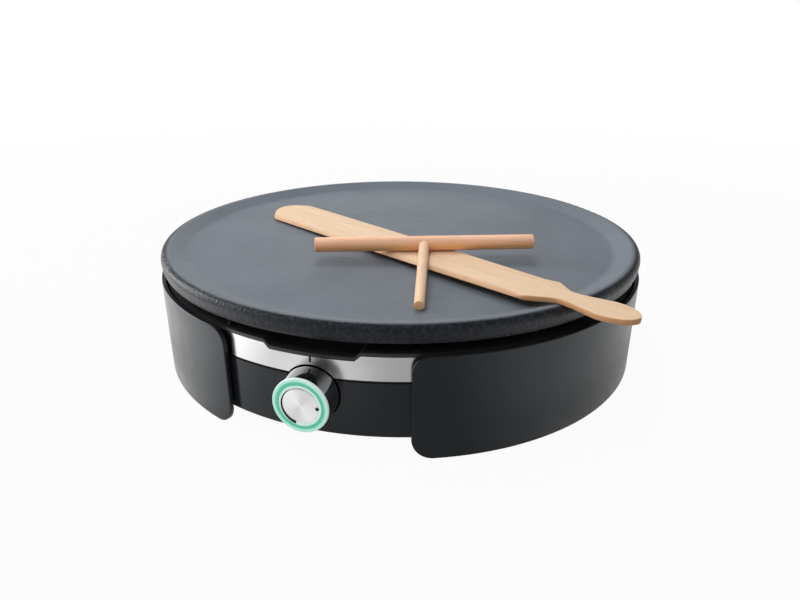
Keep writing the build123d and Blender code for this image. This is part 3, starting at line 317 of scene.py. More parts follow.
def brushedMaterial():
    material, tree, shader = startMaterial("brushedBand", {"Metallic": 1.0})
    parts = splitCoords(tree, objectCoords(tree))
    length = calc(tree, "MULTIPLY", calc(tree, "ARCTAN2", parts["Y"], parts["X"]), brushed["radius"])
    along = calc(tree, "MULTIPLY", length, brushed["lengthScale"])
    across = calc(tree, "MULTIPLY", parts["Z"], brushed["heightScale"])
    reach = apart(tree, parts["X"], parts["Y"])
    unrolled = put(tree, "ShaderNodeCombineXYZ", {"X": along, "Y": across, "Z": reach}).outputs[0]
    lines = noise(tree, unrolled, 1.0, detail=5.0, roughness=0.65)
    tone = mottled(tree, lines, brushed["colour"], brushed["shades"])
    rough = remap(tree, lines, *noiseSpan, *brushed["rough"])
    feed(tree, shader, colour=tone, rough=rough, normal=bump(tree, lines, brushed["depth"]))
    return material


# wooden tools: places in metres; the board's widths and runs in millimetres
board = {
    "origin": (-0.106942, 0.028998, 0.078770),
    "angle": -30.04,
    "rise": 0.9685,
    "thickness": 0.0033,
    "blade": 257.0,
    "handle": 61.3,
    "tipReach": 18.2,
    # painted shade: the board's sides that face away from the light are tinted darker orange
    "side": ((0.90, 0.68, 0.50), 0.50, 0.85),  # tint of the sides, and the facing where it fades
}
bar = {
    "middle": (0.031343, -0.047565, 0.090142),
    "along": (0.949694, 0.312978, 0.011248),
    "radius": 0.005,
    "length": 0.149,
    "roundOff": 0.0005,
    "tint": (1.28, 1.06, 1.08),
    "grainShift": (0.2, 0.1, 0.05),
    # painted shade and bounce light: the bar's lower side is tinted more orange
    "side": ((1.15, 1.02, 0.70), -0.2, 0.7),
}
handle = {
    "along": (0.229014, -0.968798, -0.094774),
    "start": 0.0012,
    "length": 0.0896,
    "root": 0.00345,
    "end": 0.00315,
    "roundOff": 0.0004,
    "tint": (1.06, 1.01, 1.02),
    "grainShift": (0.4, 0.3, 0.1),
}

# beech: grain along the piece's own length
beech = {
    "pale": (0.770, 0.590, 0.425),
    "warm": (0.675, 0.470, 0.300),
    "fleck": (0.480, 0.290, 0.150),
    "end": (0.980, 0.580, 0.280),
    "endDepth": (0.0006, 0.0002),
    "ringScale": 260.0,
    "ringSpan": (0.25, 0.75),
    "ringDepth": 0.00004,
    "alongShare": 0.045,
    "broadShare": 0.22,
    "broadSpan": (0.35, 0.7),
    "broadBlend": 0.35,
    "fleckScale": 900.0,
    "fleckShare": 0.09,
    "fleckSpan": (0.62, 0.74),
    "fleckBlend": 0.5,
    "fleckDepth": 0.00005,
    "rough": (0.50, 0.62),
}
beechShader = {"Specular IOR Level": 0.35, "Subsurface Weight": 0.25, "Subsurface Scale": 0.004}


def beechMaterial(name, turn, sizes, endGrain=None):
    material, tree, shader = startMaterial(name, beechShader)
    shift = sizes.get("grainShift", (0.0, 0.0, 0.0))
    lined = mapped(tree, objectCoords(tree), Rotation=(0, 0, radians(-turn)), Location=shift)
    longways = mapped(tree, lined, Scale=(beech["alongShare"], 1.0, 1.0))
    short = mapped(tree, lined, Scale=(beech["fleckShare"], 1.0, 1.0))
    rings = noise(tree, longways, beech["ringScale"], detail=4.0, roughness=0.6, Distortion=0.4)
    broad = noise(tree, longways, beech["ringScale"] * beech["broadShare"])
    flecks = noise(tree, short, beech["fleckScale"])
    tint = sizes.get("tint", 1.0)
    pale, warm, fleck = (shade(beech[part], tint) for part in ("pale", "warm", "fleck"))
    tone = mixColour(tree, remap(tree, rings, *beech["ringSpan"]), pale, warm)
    tone = mixColour(tree, remap(tree, broad, *beech["broadSpan"], 0.0, beech["broadBlend"]), tone, warm)
    tone = mixColour(tree, remap(tree, flecks, *beech["fleckSpan"], 0.0, beech["fleckBlend"]), tone, fleck)
    if endGrain:
        # the sawn end shows darker pores
        start, full = (endGrain - depth for depth in beech["endDepth"])
        sawn = remap(tree, splitCoords(tree, lined)["X"], start, full)
        tone = mixColour(tree, sawn, tone, shade(beech["end"]))
    if "side" in sizes:
        # painted shade: the sides that don't face up get a warmer tint, standing in for how light falls on
        # them
        shadeTint, low, high = sizes["side"]
        facing = put(tree, "ShaderNodeTexCoord").outputs["Normal"]
        shadedTone = mixColour(tree, 1.0, tone, shade(shadeTint), "MULTIPLY")
        tone = mixColour(tree, remap(tree, splitCoords(tree, facing)["Z"], low, high), shadedTone, tone)
    rough = remap(tree, rings, *noiseSpan, *beech["rough"])
    normal = bump(tree, rings, beech["ringDepth"], strength=0.6)
    normal = bump(tree, flecks, beech["fleckDepth"], strength=0.5, under=normal)
    feed(tree, shader, colour=tone, rough=rough, normal=normal)
    return material


# knob's rings, by distance from the knob's axis
knob = {
    "height": 0.0375,
    "rings": (0.0110, 0.0166),
    "rim": (0.70, 0.78, 0.77),
    "pale": (0.54, 0.91, 0.80),
    "white": (0.80, 0.92, 0.88),
    "mint": (0.112, 0.620, 0.400),
    "stops": [
        (0.0, "white"), (0.20, "white"), (0.34, "mint"), (0.56, "mint"),
        (0.74, "pale"), (0.88, "pale"), (1.0, "rim"),
    ],
    "glow": (0.09, 0.30),
    "glowSpan": (0.15, 0.5),
    "coreTones": ((0.80, 0.84, 0.82), (0.88, 0.91, 0.89)),
    "coreScale": 300.0,
    "coreRough": (0.26, 0.36),
    "coreGlow": (0.50, 0.95, 0.80),
    "coreStrength": 0.36,
    "grainScale": 2500.0,
    "grainDepth": 0.00001,
}
spun = {
    "colour": (1.0, 1.0, 1.0),
    "shades": (0.93, 1.0),
    "rough": (0.30, 0.40),
    "lineScale": 9000.0,
    "depth": 0.00001,
    "stretch": 0.9,
    "stretchTurn": 0.25,
}


def knobReach(tree):
    parts = splitCoords(tree, objectCoords(tree))
    return apart(tree, parts["X"], calc(tree, "SUBTRACT", parts["Z"], knob["height"]))


def lightRingMaterial():
    material, tree, shader = startMaterial("mintGuide", {"Roughness": 0.3})
    span = remap(tree, knobReach(tree), *knob["rings"])
    tone = ramp(tree, span, [(place, knob[ring]) for place, ring in knob["stops"]])
    strength = remap(tree, span, *knob["glowSpan"], *knob["glow"])
    normal = bump(tree, noise(tree, objectCoords(tree), knob["grainScale"]), knob["grainDepth"])
    feed(tree, shader, colour=tone, glow=tone, glowStrength=strength, normal=normal)
    return material


def coreMaterial():
    # translucent white body, lit from behind
    settings = {"Emission Color": knob["coreGlow"], "Emission Strength": knob["coreStrength"]}
    material, tree, shader = startMaterial("glowingCore", settings)
    coords = objectCoords(tree)
    cloud = noise(tree, coords, knob["coreScale"], detail=3.0, roughness=0.6)
    tone = mixColour(tree, remap(tree, cloud, *noiseSpan), *(shade(part) for part in knob["coreTones"]))
    rough = remap(tree, cloud, *noiseSpan, *knob["coreRough"])
    normal = bump(tree, noise(tree, coords, knob["grainScale"]), knob["grainDepth"])
    feed(tree, shader, colour=tone, rough=rough, normal=normal)
    return material


def spunMaterial():
    settings = {"Metallic": 1.0, "Anisotropic": spun["stretch"], "Anisotropic Rotation": spun["stretchTurn"]}
    material, tree, shader = startMaterial("spunAluminium", settings)
    spread = calc(tree, "MULTIPLY", knobReach(tree), spun["lineScale"])
    lines = noise(tree, put(tree, "ShaderNodeCombineXYZ", {"X": spread}).outputs[0], 1.0, detail=3.0)
    tone = mixColour(tree, lines, *(shade(spun["colour"], share) for share in spun["shades"]))
    rough = remap(tree, lines, *noiseSpan, *spun["rough"])
    around = put(tree, "ShaderNodeTangent", direction_type="UV_MAP", uv_map="around").outputs[0]
    feed(tree, shader, colour=tone, rough=rough, normal=bump(tree, lines, spun["depth"]), tangent=around)
    return material


def makeFinishes():
    made = {}
    for name, sizes in plastics.items():
        settings = {"Specular IOR Level": sizes["specular"], "Specular Tint": plasticTint}
        made[name] = grainyMaterial(name, sizes, plasticShared, settings)
    for name, sizes in metals.items():
        made[name] = grainyMaterial(name, sizes, metalShared, {"Metallic": 1.0})
    made["slateCoating"] = coatingMaterial()
    made["brushedBand"] = brushedMaterial()
    made["mintGuide"] = lightRingMaterial()
    made["spunAluminium"] = spunMaterial()
    made["glowingCore"] = coreMaterial()
    barTurn = degrees(atan2(bar["along"][1], bar["along"][0]))
    handleTurn = degrees(atan2(handle["along"][1], handle["along"][0]))
    tip = Vector(bar["middle"]) + Vector(handle["along"]) * handle["length"]
    endGrain = handle["grainShift"][0] + tip.x * cos(radians(handleTurn)) + tip.y * sin(radians(handleTurn))
    made["boardBeech"] = beechMaterial("boardBeech", board["angle"], board)
    made["barBeech"] = beechMaterial("barBeech", barTurn, bar)
    made["handleBeech"] = beechMaterial("handleBeech", handleTurn, handle, endGrain)
    return made


finishes = makeFinishes()
print("materials made,", len(finishes))

nodeFinish = {
    "slateCoating": ["hot_plate"],
    "panelSatin": ["side_panel_left", "side_panel_right"],
    "drumGloss": ["base_housing", "knob_well"],
    "deckSatin": ["deck_ring"],
    "coverTextured": ["base_cover", "cord_cradle", "cord_clamp"],
    "footRubber": ["rubber_feet"],
    "glandRubber": ["cord_gland"],
    "brushedBand": ["steel_band"],
    "knobMirror": ["knob_sleeve"],
    "mintGuide": ["knob_light_ring", "knob_bezel"],
    "glowingCore": ["knob_core"],
    "spunAluminium": ["knob_cap"],
    "zincPlate": [
        "bracket_screws", "bulb_clips", "clamp_screws", "cover_screws", "cradle_screws", "element_clamps",
        "fuse_clip", "knob_shaft", "panel_screws", "plate_nuts", "plate_studs", "thermostat_bracket",
    ],
    "blackOxide": ["deck_screws", "plate_spacers"],
    "reflectorSheet": ["heat_reflector"],
    "elementSheath": ["heating_element"],
    "drawnCopper": ["capillary_tube", "sensor_bulb"],
    "turnedBrass": ["terminal_inserts", "thermostat_nut"],
    "thermostatResin": ["thermostat_body"],
    "terminalResin": ["terminal_block"],
    "boardGreen": ["led_board"],
    "lampLens": ["led_lamps"],
    "fuseCase": ["thermal_fuse"],
    "boardBeech": ["spatula"],
    "barBeech": ["spreader_bar"],
    "handleBeech": ["spreader_handle"],
}


def coat(mesh, finish):
    mesh.materials.clear()
    mesh.materials.append(finishes[finish])


for finish, names in nodeFinish.items():
    for name in names:
        coat(nodes[name].data, finish)
print("finishes given to the nodes")


# own pieces: shared builders
def addObject(name, mesh, finish, body, replaced=()):
    made = bpy.data.objects.new(name, mesh)
    scene.collection.objects.link(made)
    coat(mesh, finish)
    if replaced:
        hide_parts(*replaced)
    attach(made, body)


def crease(mesh, angle=32.0):
    # smooth shading, with the edges sharper than the angle kept crisp
    shell = bmesh.new()
    shell.from_mesh(mesh)
    bmesh.ops.recalc_face_normals(shell, faces=shell.faces)
    for face in shell.faces:
        face.smooth = True
    shell.to_mesh(mesh)
    shell.free()
    mesh.set_sharp_from_angle(angle=radians(angle))


lathe = {
    "mergeWithin": 1e-7,
    "firstCopy": 0.125,  # of a turn
    "indexShift": 0.5,  # keeps the divided indices off whole numbers
}


def turnTree():
    # lathe: a line of profile points (x out, z up) goes round +Z, then stands at each copy's place
    tree = bpy.data.node_groups.new("turnProfile", "GeometryNodeTree")
    inputs = (
        ("Profile", "Geometry"), ("Steps", "Int"), ("Copies", "Int"), ("Ring Radius", "Float"),
        ("Finish", "Material"),
    )
    for label, kind in inputs:
        tree.interface.new_socket(label, in_out="INPUT", socket_type="NodeSocket" + kind)
    tree.interface.new_socket("Geometry", in_out="OUTPUT", socket_type="NodeSocketGeometry")
    given = tree.nodes.new("NodeGroupInput").outputs
    # a grid with one row for each profile point and one column for each step round
    size = put(tree, "GeometryNodeAttributeDomainSize", {"Geometry": given["Profile"]})
    points = size.outputs["Point Count"]
    columns = calc(tree, "ADD", given["Steps"], 1.0)
    grid = put(tree, "GeometryNodeMeshGrid", {"Vertices X": columns, "Vertices Y": points}).outputs["Mesh"]
    index = calc(tree, "ADD", put(tree, "GeometryNodeInputIndex").outputs[0], lathe["indexShift"])
    column = calc(tree, "FLOOR", calc(tree, "DIVIDE", index, points))
    row = calc(tree, "FLOOR", calc(tree, "MODULO", index, points))
    position = put(tree, "GeometryNodeInputPosition").outputs[0]
    picked = {"Geometry": given["Profile"], "Value": position, "Index": row}
    sample = put(tree, "GeometryNodeSampleIndex", picked, data_type="FLOAT_VECTOR", domain="POINT")
    parts = splitCoords(tree, sample.outputs["Value"])
    turn = calc(tree, "MULTIPLY", calc(tree, "DIVIDE", column, given["Steps"]), 2 * pi)
    across = calc(tree, "MULTIPLY", parts["X"], calc(tree, "COSINE", turn))
    along = calc(tree, "MULTIPLY", parts["X"], calc(tree, "SINE", turn))
    place = put(tree, "ShaderNodeCombineXYZ", {0: across, 1: along, 2: parts["Z"]}).outputs[0]
    shell = put(tree, "GeometryNodeSetPosition", {"Geometry": grid, "Position": place}).outputs[0]
    merge = {"Geometry": shell, "Distance": lathe["mergeWithin"]}
    shell = put(tree, "GeometryNodeMergeByDistance", merge).outputs[0]
    # copies on a ring
    stops = put(tree, "GeometryNodeMeshLine", {"Count": given["Copies"]}).outputs[0]
    share = calc(tree, "DIVIDE", put(tree, "GeometryNodeInputIndex").outputs[0], given["Copies"])
    bearing = calc(tree, "MULTIPLY", calc(tree, "ADD", share, lathe["firstCopy"]), 2 * pi)
    aside = calc(tree, "MULTIPLY", calc(tree, "COSINE", bearing), given["Ring Radius"])
    ahead = calc(tree, "MULTIPLY", calc(tree, "SINE", bearing), given["Ring Radius"])
    spot = put(tree, "ShaderNodeCombineXYZ", {0: aside, 1: ahead}).outputs[0]
    stops = put(tree, "GeometryNodeSetPosition", {"Geometry": stops, "Position": spot}).outputs[0]
    copies = put(tree, "GeometryNodeInstanceOnPoints", {"Points": stops, "Instance": shell}).outputs[0]
    solid = put(tree, "GeometryNodeRealizeInstances", {"Geometry": copies}).outputs[0]
    coated = {"Geometry": solid, "Material": given["Finish"]}
    solid = put(tree, "GeometryNodeSetMaterial", coated).outputs[0]
    put(tree, "NodeGroupOutput", {"Geometry": solid})
    return tree


turning = turnTree()


def turned(name, profile, finish, axis=None, steps=72, copies=1, ring=0.0):
    # profile: (radius, height) points; axis: the matrix that carries +Z onto the piece's own axis
    line = bpy.data.meshes.new(name + "Profile")
    edges = [(n, n + 1) for n in range(len(profile) - 1)]
    line.from_pydata([(radius, 0, height) for radius, height in profile], edges, [])
    base = bpy.data.objects.new(name + "Profile", line)
    scene.collection.objects.link(base)
    modifier = base.modifiers.new("turn", "NODES")
    modifier.node_group = turning
    values = {"Steps": steps, "Copies": copies, "Ring Radius": float(ring), "Finish": finishes[finish]}
    for item in turning.interface.items_tree:
        if item.in_out == "INPUT" and item.name in values:
            modifier[item.identifier] = values[item.name]
    base.update_tag()
    bpy.context.view_layer.update()
    ready = base.evaluated_get(bpy.context.evaluated_depsgraph_get())
    mesh = bpy.data.meshes.new_from_object(ready)
    base.modifiers.remove(modifier)
    bpy.data.objects.remove(base)
    bpy.data.meshes.remove(line)
    mesh.name = name
    if axis:
        mesh.transform(axis)
    crease(mesh)
    return mesh


# spatula: a flat board whose blade is bevelled to thin edges
def arcThrough(first, middle, last):
    # height over x of the circle through three points, where the arc is shallow
    def line(x):
        return first[1] + (last[1] - first[1]) * (x - first[0]) / (last[0] - first[0])

    def height(x):
        share = ((x - first[0]) * (x - last[0])) / ((middle[0] - first[0]) * (middle[0] - last[0]))
        return line(x) + (middle[1] - line(middle[0])) * share

    return height


def smoothTable(stops):
    # smooth curve through (x, y) stops, by cubic steps whose slopes follow the neighbours
    def slope(n):
        low, high = max(n - 1, 0), min(n + 1, len(stops) - 1)
        return (stops[high][1] - stops[low][1]) / (stops[high][0] - stops[low][0])

    def value(x):
        n = 0
        while n < len(stops) - 2 and x > stops[n + 1][0]:
            n += 1
        (left, low), (right, high) = stops[n], stops[n + 1]
        span = right - left
        t = min(max((x - left) / span, 0.0), 1.0)
        rise = slope(n) * span * t * (1 - t) ** 2 - slope(n + 1) * span * t**2 * (1 - t)
        return low + (high - low) * (3 * t**2 - 2 * t**3) + rise

    return value


def softRamp(x, knee=0.2):
    # straight rise with a soft knee into level 1
    if x <= 1 - knee:
        return max(x, 0.0)
    return 1.0 if x >= 1 + knee else x - (x - (1 - knee)) ** 2 / (4 * knee)


# side points away from the board's middle line; corner, back and nose shape the two ends of each edge
farSide = {"side": 1.0, "tip": 26.4, "middle": 23.2, "end": 17.8, "corner": -4.0, "nose": 0.40, "back": 0}
nearSide = {"side": -1.0, "tip": 18.2, "middle": 17.6, "end": 15.8, "corner": 4.0, "nose": 0.48, "back": 3}
outline = {
    "tipLean": 8.0,
    "cornerSpan": 8.0,
    "cornerSoft": 3.0,
    "shoulderRun": 5,
    "shoulderDrop": 2.3,
    "shoulderCurve": 1.6,
    "neckReach": 16.5,
    "neckHalf": 7.7,
    "gripReach": 42.0,
    "gripHalf": 11.8,
    "gripCurve": 2.1,
    "offset": 1.9,
}
boardEnd = board["blade"] + board["handle"]


def bladeEdge(s, edge):
    side, corner, shoulder = edge["side"], edge["corner"], board["blade"] - edge["back"]
    if s < corner:
        lean = outline["tipLean"]
        t = (s + board["tipReach"]) / (corner + board["tipReach"])
        return lean + (side * edge["tip"] - lean) * max(t, 0.0) ** edge["nose"]
    if s < shoulder:
        middle = (board["blade"] / 2, side * edge["middle"])
        return arcThrough((corner, side * edge["tip"]), middle, (shoulder, side * edge["end"]))(s)
    return handleEdge(s, side, side * edge["end"], shoulder)


def nearEdge(s):
    # the sawn corner is sanded round
    away = abs(s - nearSide["corner"]) / outline["cornerSpan"]
    soft = outline["cornerSoft"] * max(0.0, 1 - away)
    return sum(bladeEdge(s + shift, nearSide) for shift in (-soft, 0, soft)) / 3


def handleEdge(s, side, start, shoulder):
    # from the blade's shoulder by the neck to the grip
    grip = board["blade"] + outline["gripReach"]
    middle = outline["offset"]
    if s > grip:
        t = min((s - grip) / (boardEnd - grip), 1.0)
        return middle + side * outline["gripHalf"] * sqrt(max(1 - t ** outline["gripCurve"], 0.0))
    if s < shoulder + outline["shoulderRun"]:
        t = (s - shoulder) / outline["shoulderRun"]
        return start - side * outline["shoulderDrop"] * t ** outline["shoulderCurve"]
    stops = [
        (shoulder, start),
        (shoulder + outline["shoulderRun"], start - side * outline["shoulderDrop"]),
        (board["blade"] + outline["neckReach"], middle + side * outline["neckHalf"]),
        (grip, middle + side * outline["gripHalf"]),
    ]
    return smoothTable(stops)(s)


bevels = {
    "edge": 1.0,
    "handleEdge": 2.9,
    "gripBack": 8,
    "gripRun": 10,
    "lip": 0.3,
    "lift": 0.5,
    "liftWidth": 3.5,
    "nearWidth": [
        (-16.0, 0.9), (0.0, 1.3), (35.0, 1.6), (70.0, 2.2), (105.0, 3.0), (250.0, 1.6), (258.0, 0.5),
    ],
    "farWidth": [(-16.0, 2.5), (0.0, 3.0), (120.0, 3.0), (248.0, 2.4), (258.0, 0.5)],
    "tipThickness": 2.9,
    "tipLength": 46.0,
    "columns": 28,
    "creaseAngle": 38.0,
}
stations = {
    "tipRun": 26,
    "tipSteps": 26,
    "inset": 8,
    "bladeSteps": 70,
    "neckSteps": 34,
    "endRun": 20,
    "endSteps": 18,
}


def boardStations():
    # sections stand closer together at the tip and at the handle's end
    inset, endRun = stations["inset"], stations["endRun"]
    tip, blade, neck, end = (stations[part] for part in ("tipSteps", "bladeSteps", "neckSteps", "endSteps"))
    places = [-board["tipReach"] + stations["tipRun"] * (1 - cos(pi / 2 * n / tip)) for n in range(tip)]
    places += [inset + (board["blade"] - 2 * inset) * n / blade for n in range(blade)]
    places += [board["blade"] - inset + (board["handle"] + inset - endRun) * n / neck for n in range(neck)]
    places += [boardEnd - endRun * (1 - sin(pi / 2 * n / end)) for n in range(end + 1)]
    return places


def boardSection(s):
    # (y, z) points round the board, from the near foot
    far, near = bladeEdge(s, farSide), nearEdge(s)
    full = board["thickness"] * 1000
    thinned = softRamp((s + board["tipReach"]) / bevels["tipLength"])
    body = bevels["tipThickness"] + (full - bevels["tipThickness"]) * thinned
    grip = softRamp((s - board["blade"] + bevels["gripBack"]) / bevels["gripRun"])
    thin = min(bevels["edge"] + (bevels["handleEdge"] - bevels["edge"]) * grip, body)
    nearWidth = smoothTable(bevels["nearWidth"])(s)
    farWidth = smoothTable(bevels["farWidth"])(s)
    width = far - near
    lip = min(bevels["lip"], width / 6)
    top = []
    for n in range(bevels["columns"] + 1):
        share = 0.5 - 0.5 * cos(pi * n / bevels["columns"])
        y = far - lip - (width - 2 * lip) * share
        rise = min(softRamp((far - y) / farWidth), softRamp((y - near) / nearWidth))
        top.append((y, thin + (body - thin) * rise))
    lift = bevels["lift"] * (1 - grip)
    hem = min(bevels["liftWidth"], width / 3)
    bottom = [(near + lip, lift), (near + hem, 0.0), (far - hem, 0.0), (far - lip, lift)]
    # the rounded edge on each side, in four points
    quarter = (thin - lift) * 0.25
    low, high = lift + quarter, thin - quarter
    rounded = [(lip / 4, (lift + low) / 2), (0.0, low), (0.0, high), (lip / 4, (thin + high) / 2)]
    rising = [(far - inward, z) for inward, z in rounded]
    falling = [(near + inward, z) for inward, z in reversed(rounded)]
    return bottom + rising + top + falling


def makeSpatula():
    heading = Euler((0, -radians(board["rise"]), radians(board["angle"]))).to_matrix().to_4x4()
    carry = Matrix.Translation(board["origin"]) @ heading @ Matrix.Scale(0.001, 4)
    loops = [[carry @ Vector((s, y, z)) for y, z in boardSection(s)] for s in boardStations()]
    count = len(loops[0])
    points = [point for loop in loops for point in loop]
    faces = []
    for ring in range(len(loops) - 1):
        here, there = ring * count, (ring + 1) * count
        for n in range(count):
            m = (n + 1) % count
            faces.append((here + n, here + m, there + m, there + n))
    faces.append(tuple(range(count)))
    faces.append(tuple((len(loops) - 1) * count + n for n in reversed(range(count))))
    mesh = bpy.data.meshes.new("bevelledSpatula")
    mesh.from_pydata(points, [], faces)
    crease(mesh, bevels["creaseAngle"])
    addObject("bevelledSpatula", mesh, "boardBeech", "spatula", ["spatula"])
    print("spatula made,", len(mesh.polygons), "faces")


makeSpatula()

# spreader: two dowels with sanded ends
sanding = {
    "middle": (0.3, 0.25),  # middle point of the rounded edge, as shares of its width
    "steps": 8,
}


def dowelProfile(first, last, length, soft):
    inward, upward = (soft * share for share in sanding["middle"])
    steps = sanding["steps"]
    start = [(0, 0), (first - soft, 0), (first - inward, upward), (first, soft)]
    end = [(last, length - soft), (last - inward, length - upward), (last - soft, length), (0, length)]
    between = [
        (first + (last - first) * n / steps, soft + (length - 2 * soft) * n / steps) for n in range(1, steps)
    ]
    return start + between + end


def makeSpreader():
    along = Vector(bar["along"])
    start = Vector(bar["middle"]) - along * (bar["length"] / 2)
    profile = dowelProfile(bar["radius"], bar["radius"], bar["length"], bar["roundOff"])
    mesh = turned("sandedBar", profile, "barBeech", standing(start, along))
    addObject("sandedBar", mesh, "barBeech", "spreader", ["spreader_bar"])
    grip = Vector(handle["along"])
    start = Vector(bar["middle"]) + grip * handle["start"]
    length = handle["length"] - handle["start"]
    profile = dowelProfile(handle["root"], handle["end"], length, handle["roundOff"])
    mesh = turned("sandedHandle", profile, "handleBeech", standing(start, grip))
    addObject("sandedHandle", mesh, "handleBeech", "spreader", ["spreader_handle"])
    print("spreader made")


makeSpreader()

# knob: spun cap with fine grooves, its marks and the pointer over it
dial = {
    "face": 0.18680,
    "capRadius": 0.0110,
    "capDepth": 0.00115,
    "capEdge": 0.0002,
    "capSteps": 120,
    "groovePitch": 0.00025,
    "grooveDepth": 0.000006,
    "markFace": 0.18689,
    "markBack": 0.18660,
    "dotTurn": 91.0,
    "dotReach": 0.0101,
    "dotRadius": 0.0011,
    "dotSteps": 16,
    "arcStart": 17.5,
    "arcEnd": -165.0,
    "arcInner": [(0.0, 0.01036), (0.17, 0.01044), (0.57, 0.0104), (1.0, 0.0102)],
    "arcOuter": [(0.0, 0.01044), (0.17, 0.01066), (0.57, 0.0114), (1.0, 0.0121)],
    "arcSteps": 72,
}
pointer = {"low": 0.0563, "high": 0.0597, "half": 0.00062, "proud": 0.00006, "sunk": 0.0002, "steps": 4}
dialAxis = Matrix.Translation((0, 0, knob["height"])) @ Matrix.Rotation(radians(90), 4, "X")
tiny = 1e-6


def ringUv(mesh, centre, size):
    # u runs round the piece's axis and v outwards, so the grain's direction is known
    layer = mesh.uv_layers.new(name="around")
    for face in mesh.polygons:
        middle = face.center - centre
        base = atan2(middle.z, middle.x)
        for loop in face.loop_indices:
            spot = mesh.vertices[mesh.loops[loop].vertex_index].co - centre
            turn = atan2(spot.z, spot.x) if hypot(spot.x, spot.z) > tiny else base
            turn += 2 * pi * round((base - turn) / (2 * pi))
            layer.data[loop].uv = (turn / (2 * pi), hypot(spot.x, spot.z) / size)


def makeCap():
    radius, depth, edge, pitch = (dial[part] for part in ("capRadius", "capDepth", "capEdge", "groovePitch"))
    profile = [(0, 0), (radius, 0), (radius, depth - edge), (radius - edge, depth)]
    for n in range(int(radius / pitch) - 2, 0, -1):
        profile.append((n * pitch, depth - dial["grooveDepth"] * (n % 2)))
    profile.append((0, depth))
    lift = Matrix.Translation((0, 0, dial["face"] - depth))
    mesh = turned("spunCap", profile, "spunAluminium", dialAxis @ lift, dial["capSteps"])
    ringUv(mesh, Vector((0, -dial["face"], knob["height"])), radius)
    addObject("spunCap", mesh, "spunAluminium", "knob", ["knob_cap"])


def inlay(name, inner, outer, body):
    # thin solid between two matching lines of (x, z) points on the knob's face
    front, back = -dial["markFace"], -dial["markBack"]
    points = []
    for (ax, az), (bx, bz) in zip(inner, outer):
        points += [(ax, front, az), (bx, front, bz), (bx, back, bz), (ax, back, az)]
    faces = []
    for n in range(len(inner) - 1):
        for m in range(4):
            k = (m + 1) % 4
            faces.append((n * 4 + m, n * 4 + k, n * 4 + 4 + k, n * 4 + 4 + m))
    faces += [(0, 1, 2, 3), tuple(len(points) - 4 + m for m in (3, 2, 1, 0))]
    mesh = bpy.data.meshes.new(name)
    mesh.from_pydata(points, [], faces)
    crease(mesh)
    addObject(name, mesh, "markBlack", body)


def makeMarks():
    def spot(turn, reach):
        return reach * sin(radians(turn)), knob["height"] + reach * cos(radians(turn))

    inner, outer = [], []
    low, high = smoothTable(dial["arcInner"]), smoothTable(dial["arcOuter"])
    for n in range(dial["arcSteps"] + 1):
        share = n / dial["arcSteps"]
        turn = dial["arcStart"] + (dial["arcEnd"] - dial["arcStart"]) * share
        inner.append(spot(turn, low(share)))
        outer.append(spot(turn, high(share)))
    inlay("dialArc", inner, outer, "knob")
    cx, cz = spot(dial["dotTurn"], dial["dotReach"])
    left, right = [], []
    for n in range(dial["dotSteps"] + 1):
        turn = pi * n / dial["dotSteps"]
        half = max(dial["dotRadius"] * sin(turn), tiny)
        up = dial["dotRadius"] * cos(turn)
        left.append((cx - half, cz + up))
        right.append((cx + half, cz + up))
    inlay("dialDot", left, right, "knob")


def makePointer():
    # a thin line let into the steel band
    points, faces = [], []
    for n in range(pointer["steps"] + 1):
        x = pointer["half"] * (2 * n / pointer["steps"] - 1)
        for radius in (brushed["radius"] + pointer["proud"], brushed["radius"] - pointer["sunk"]):
            y = -sqrt(radius**2 - x**2)
            points += [(x, y, pointer["low"]), (x, y, pointer["high"])]
    for n in range(pointer["steps"]):
        a, b = n * 4, n * 4 + 4
        faces += [(a, b, b + 1, a + 1), (a + 2, a + 3, b + 3, b + 2)]
        faces += [(a + 1, b + 1, b + 3, a + 3), (a, a + 2, b + 2, b)]
    last = pointer["steps"] * 4
    faces += [(0, 1, 3, 2), (last, last + 2, last + 3, last + 1)]
    mesh = bpy.data.meshes.new("pointerMark")
    mesh.from_pydata(points, [], faces)
    crease(mesh)
    addObject("pointerMark", mesh, "markBlack", "cooker")


makeCap()
makeMarks()
makePointer()
print("dial made")

# rubber parts: ribbed boot at the lead's hole, feet with ringed treads
boot = {
    "height": 0.030,
    "bore": 0.0036,
    "inner": 0.1613,
    "latchFoot": 0.1660,
    "latchTop": 0.1680,
    "latchRadius": 0.0084,
    "drum": 0.1712,
    "flange": 0.1737,
    "mouth": 0.1844,
    "body": 0.0070,
    "flangeRadius": 0.0095,
    "flangeEdge": (0.0005, 0.0006),  # at its foot, at its top
    "edge": 0.0004,
    "neck": 0.0073,
    "tip": 0.0056,
    "ribs": 4,
    "ribHeight": 0.0008,
    "ribProfile": ((0.05, 1.0), (0.40, 1.0), (0.50, 0.0), (0.90, 0.0)),  # share of the pitch, depth
    "steps": 64,
}
feet = {
    "count": 4,
    "steps": 48,
    "ring": 0.1320,
    "radius": 0.0105,
    "top": 0.0117,
    "stem": 0.0040,
    "cover": 0.0142,
    "head": 0.0060,
    "headTop": 0.0164,
    "headShare": 0.6,
    "hollow": 0.0006,
    "rings": (0.0030, 0.0046, 0.0062, 0.0078),
    "ringTop": 0.0002,
    "ringFoot": 0.0004,
    "rounding": 0.0018,
    "roundingSteps": 5,
}


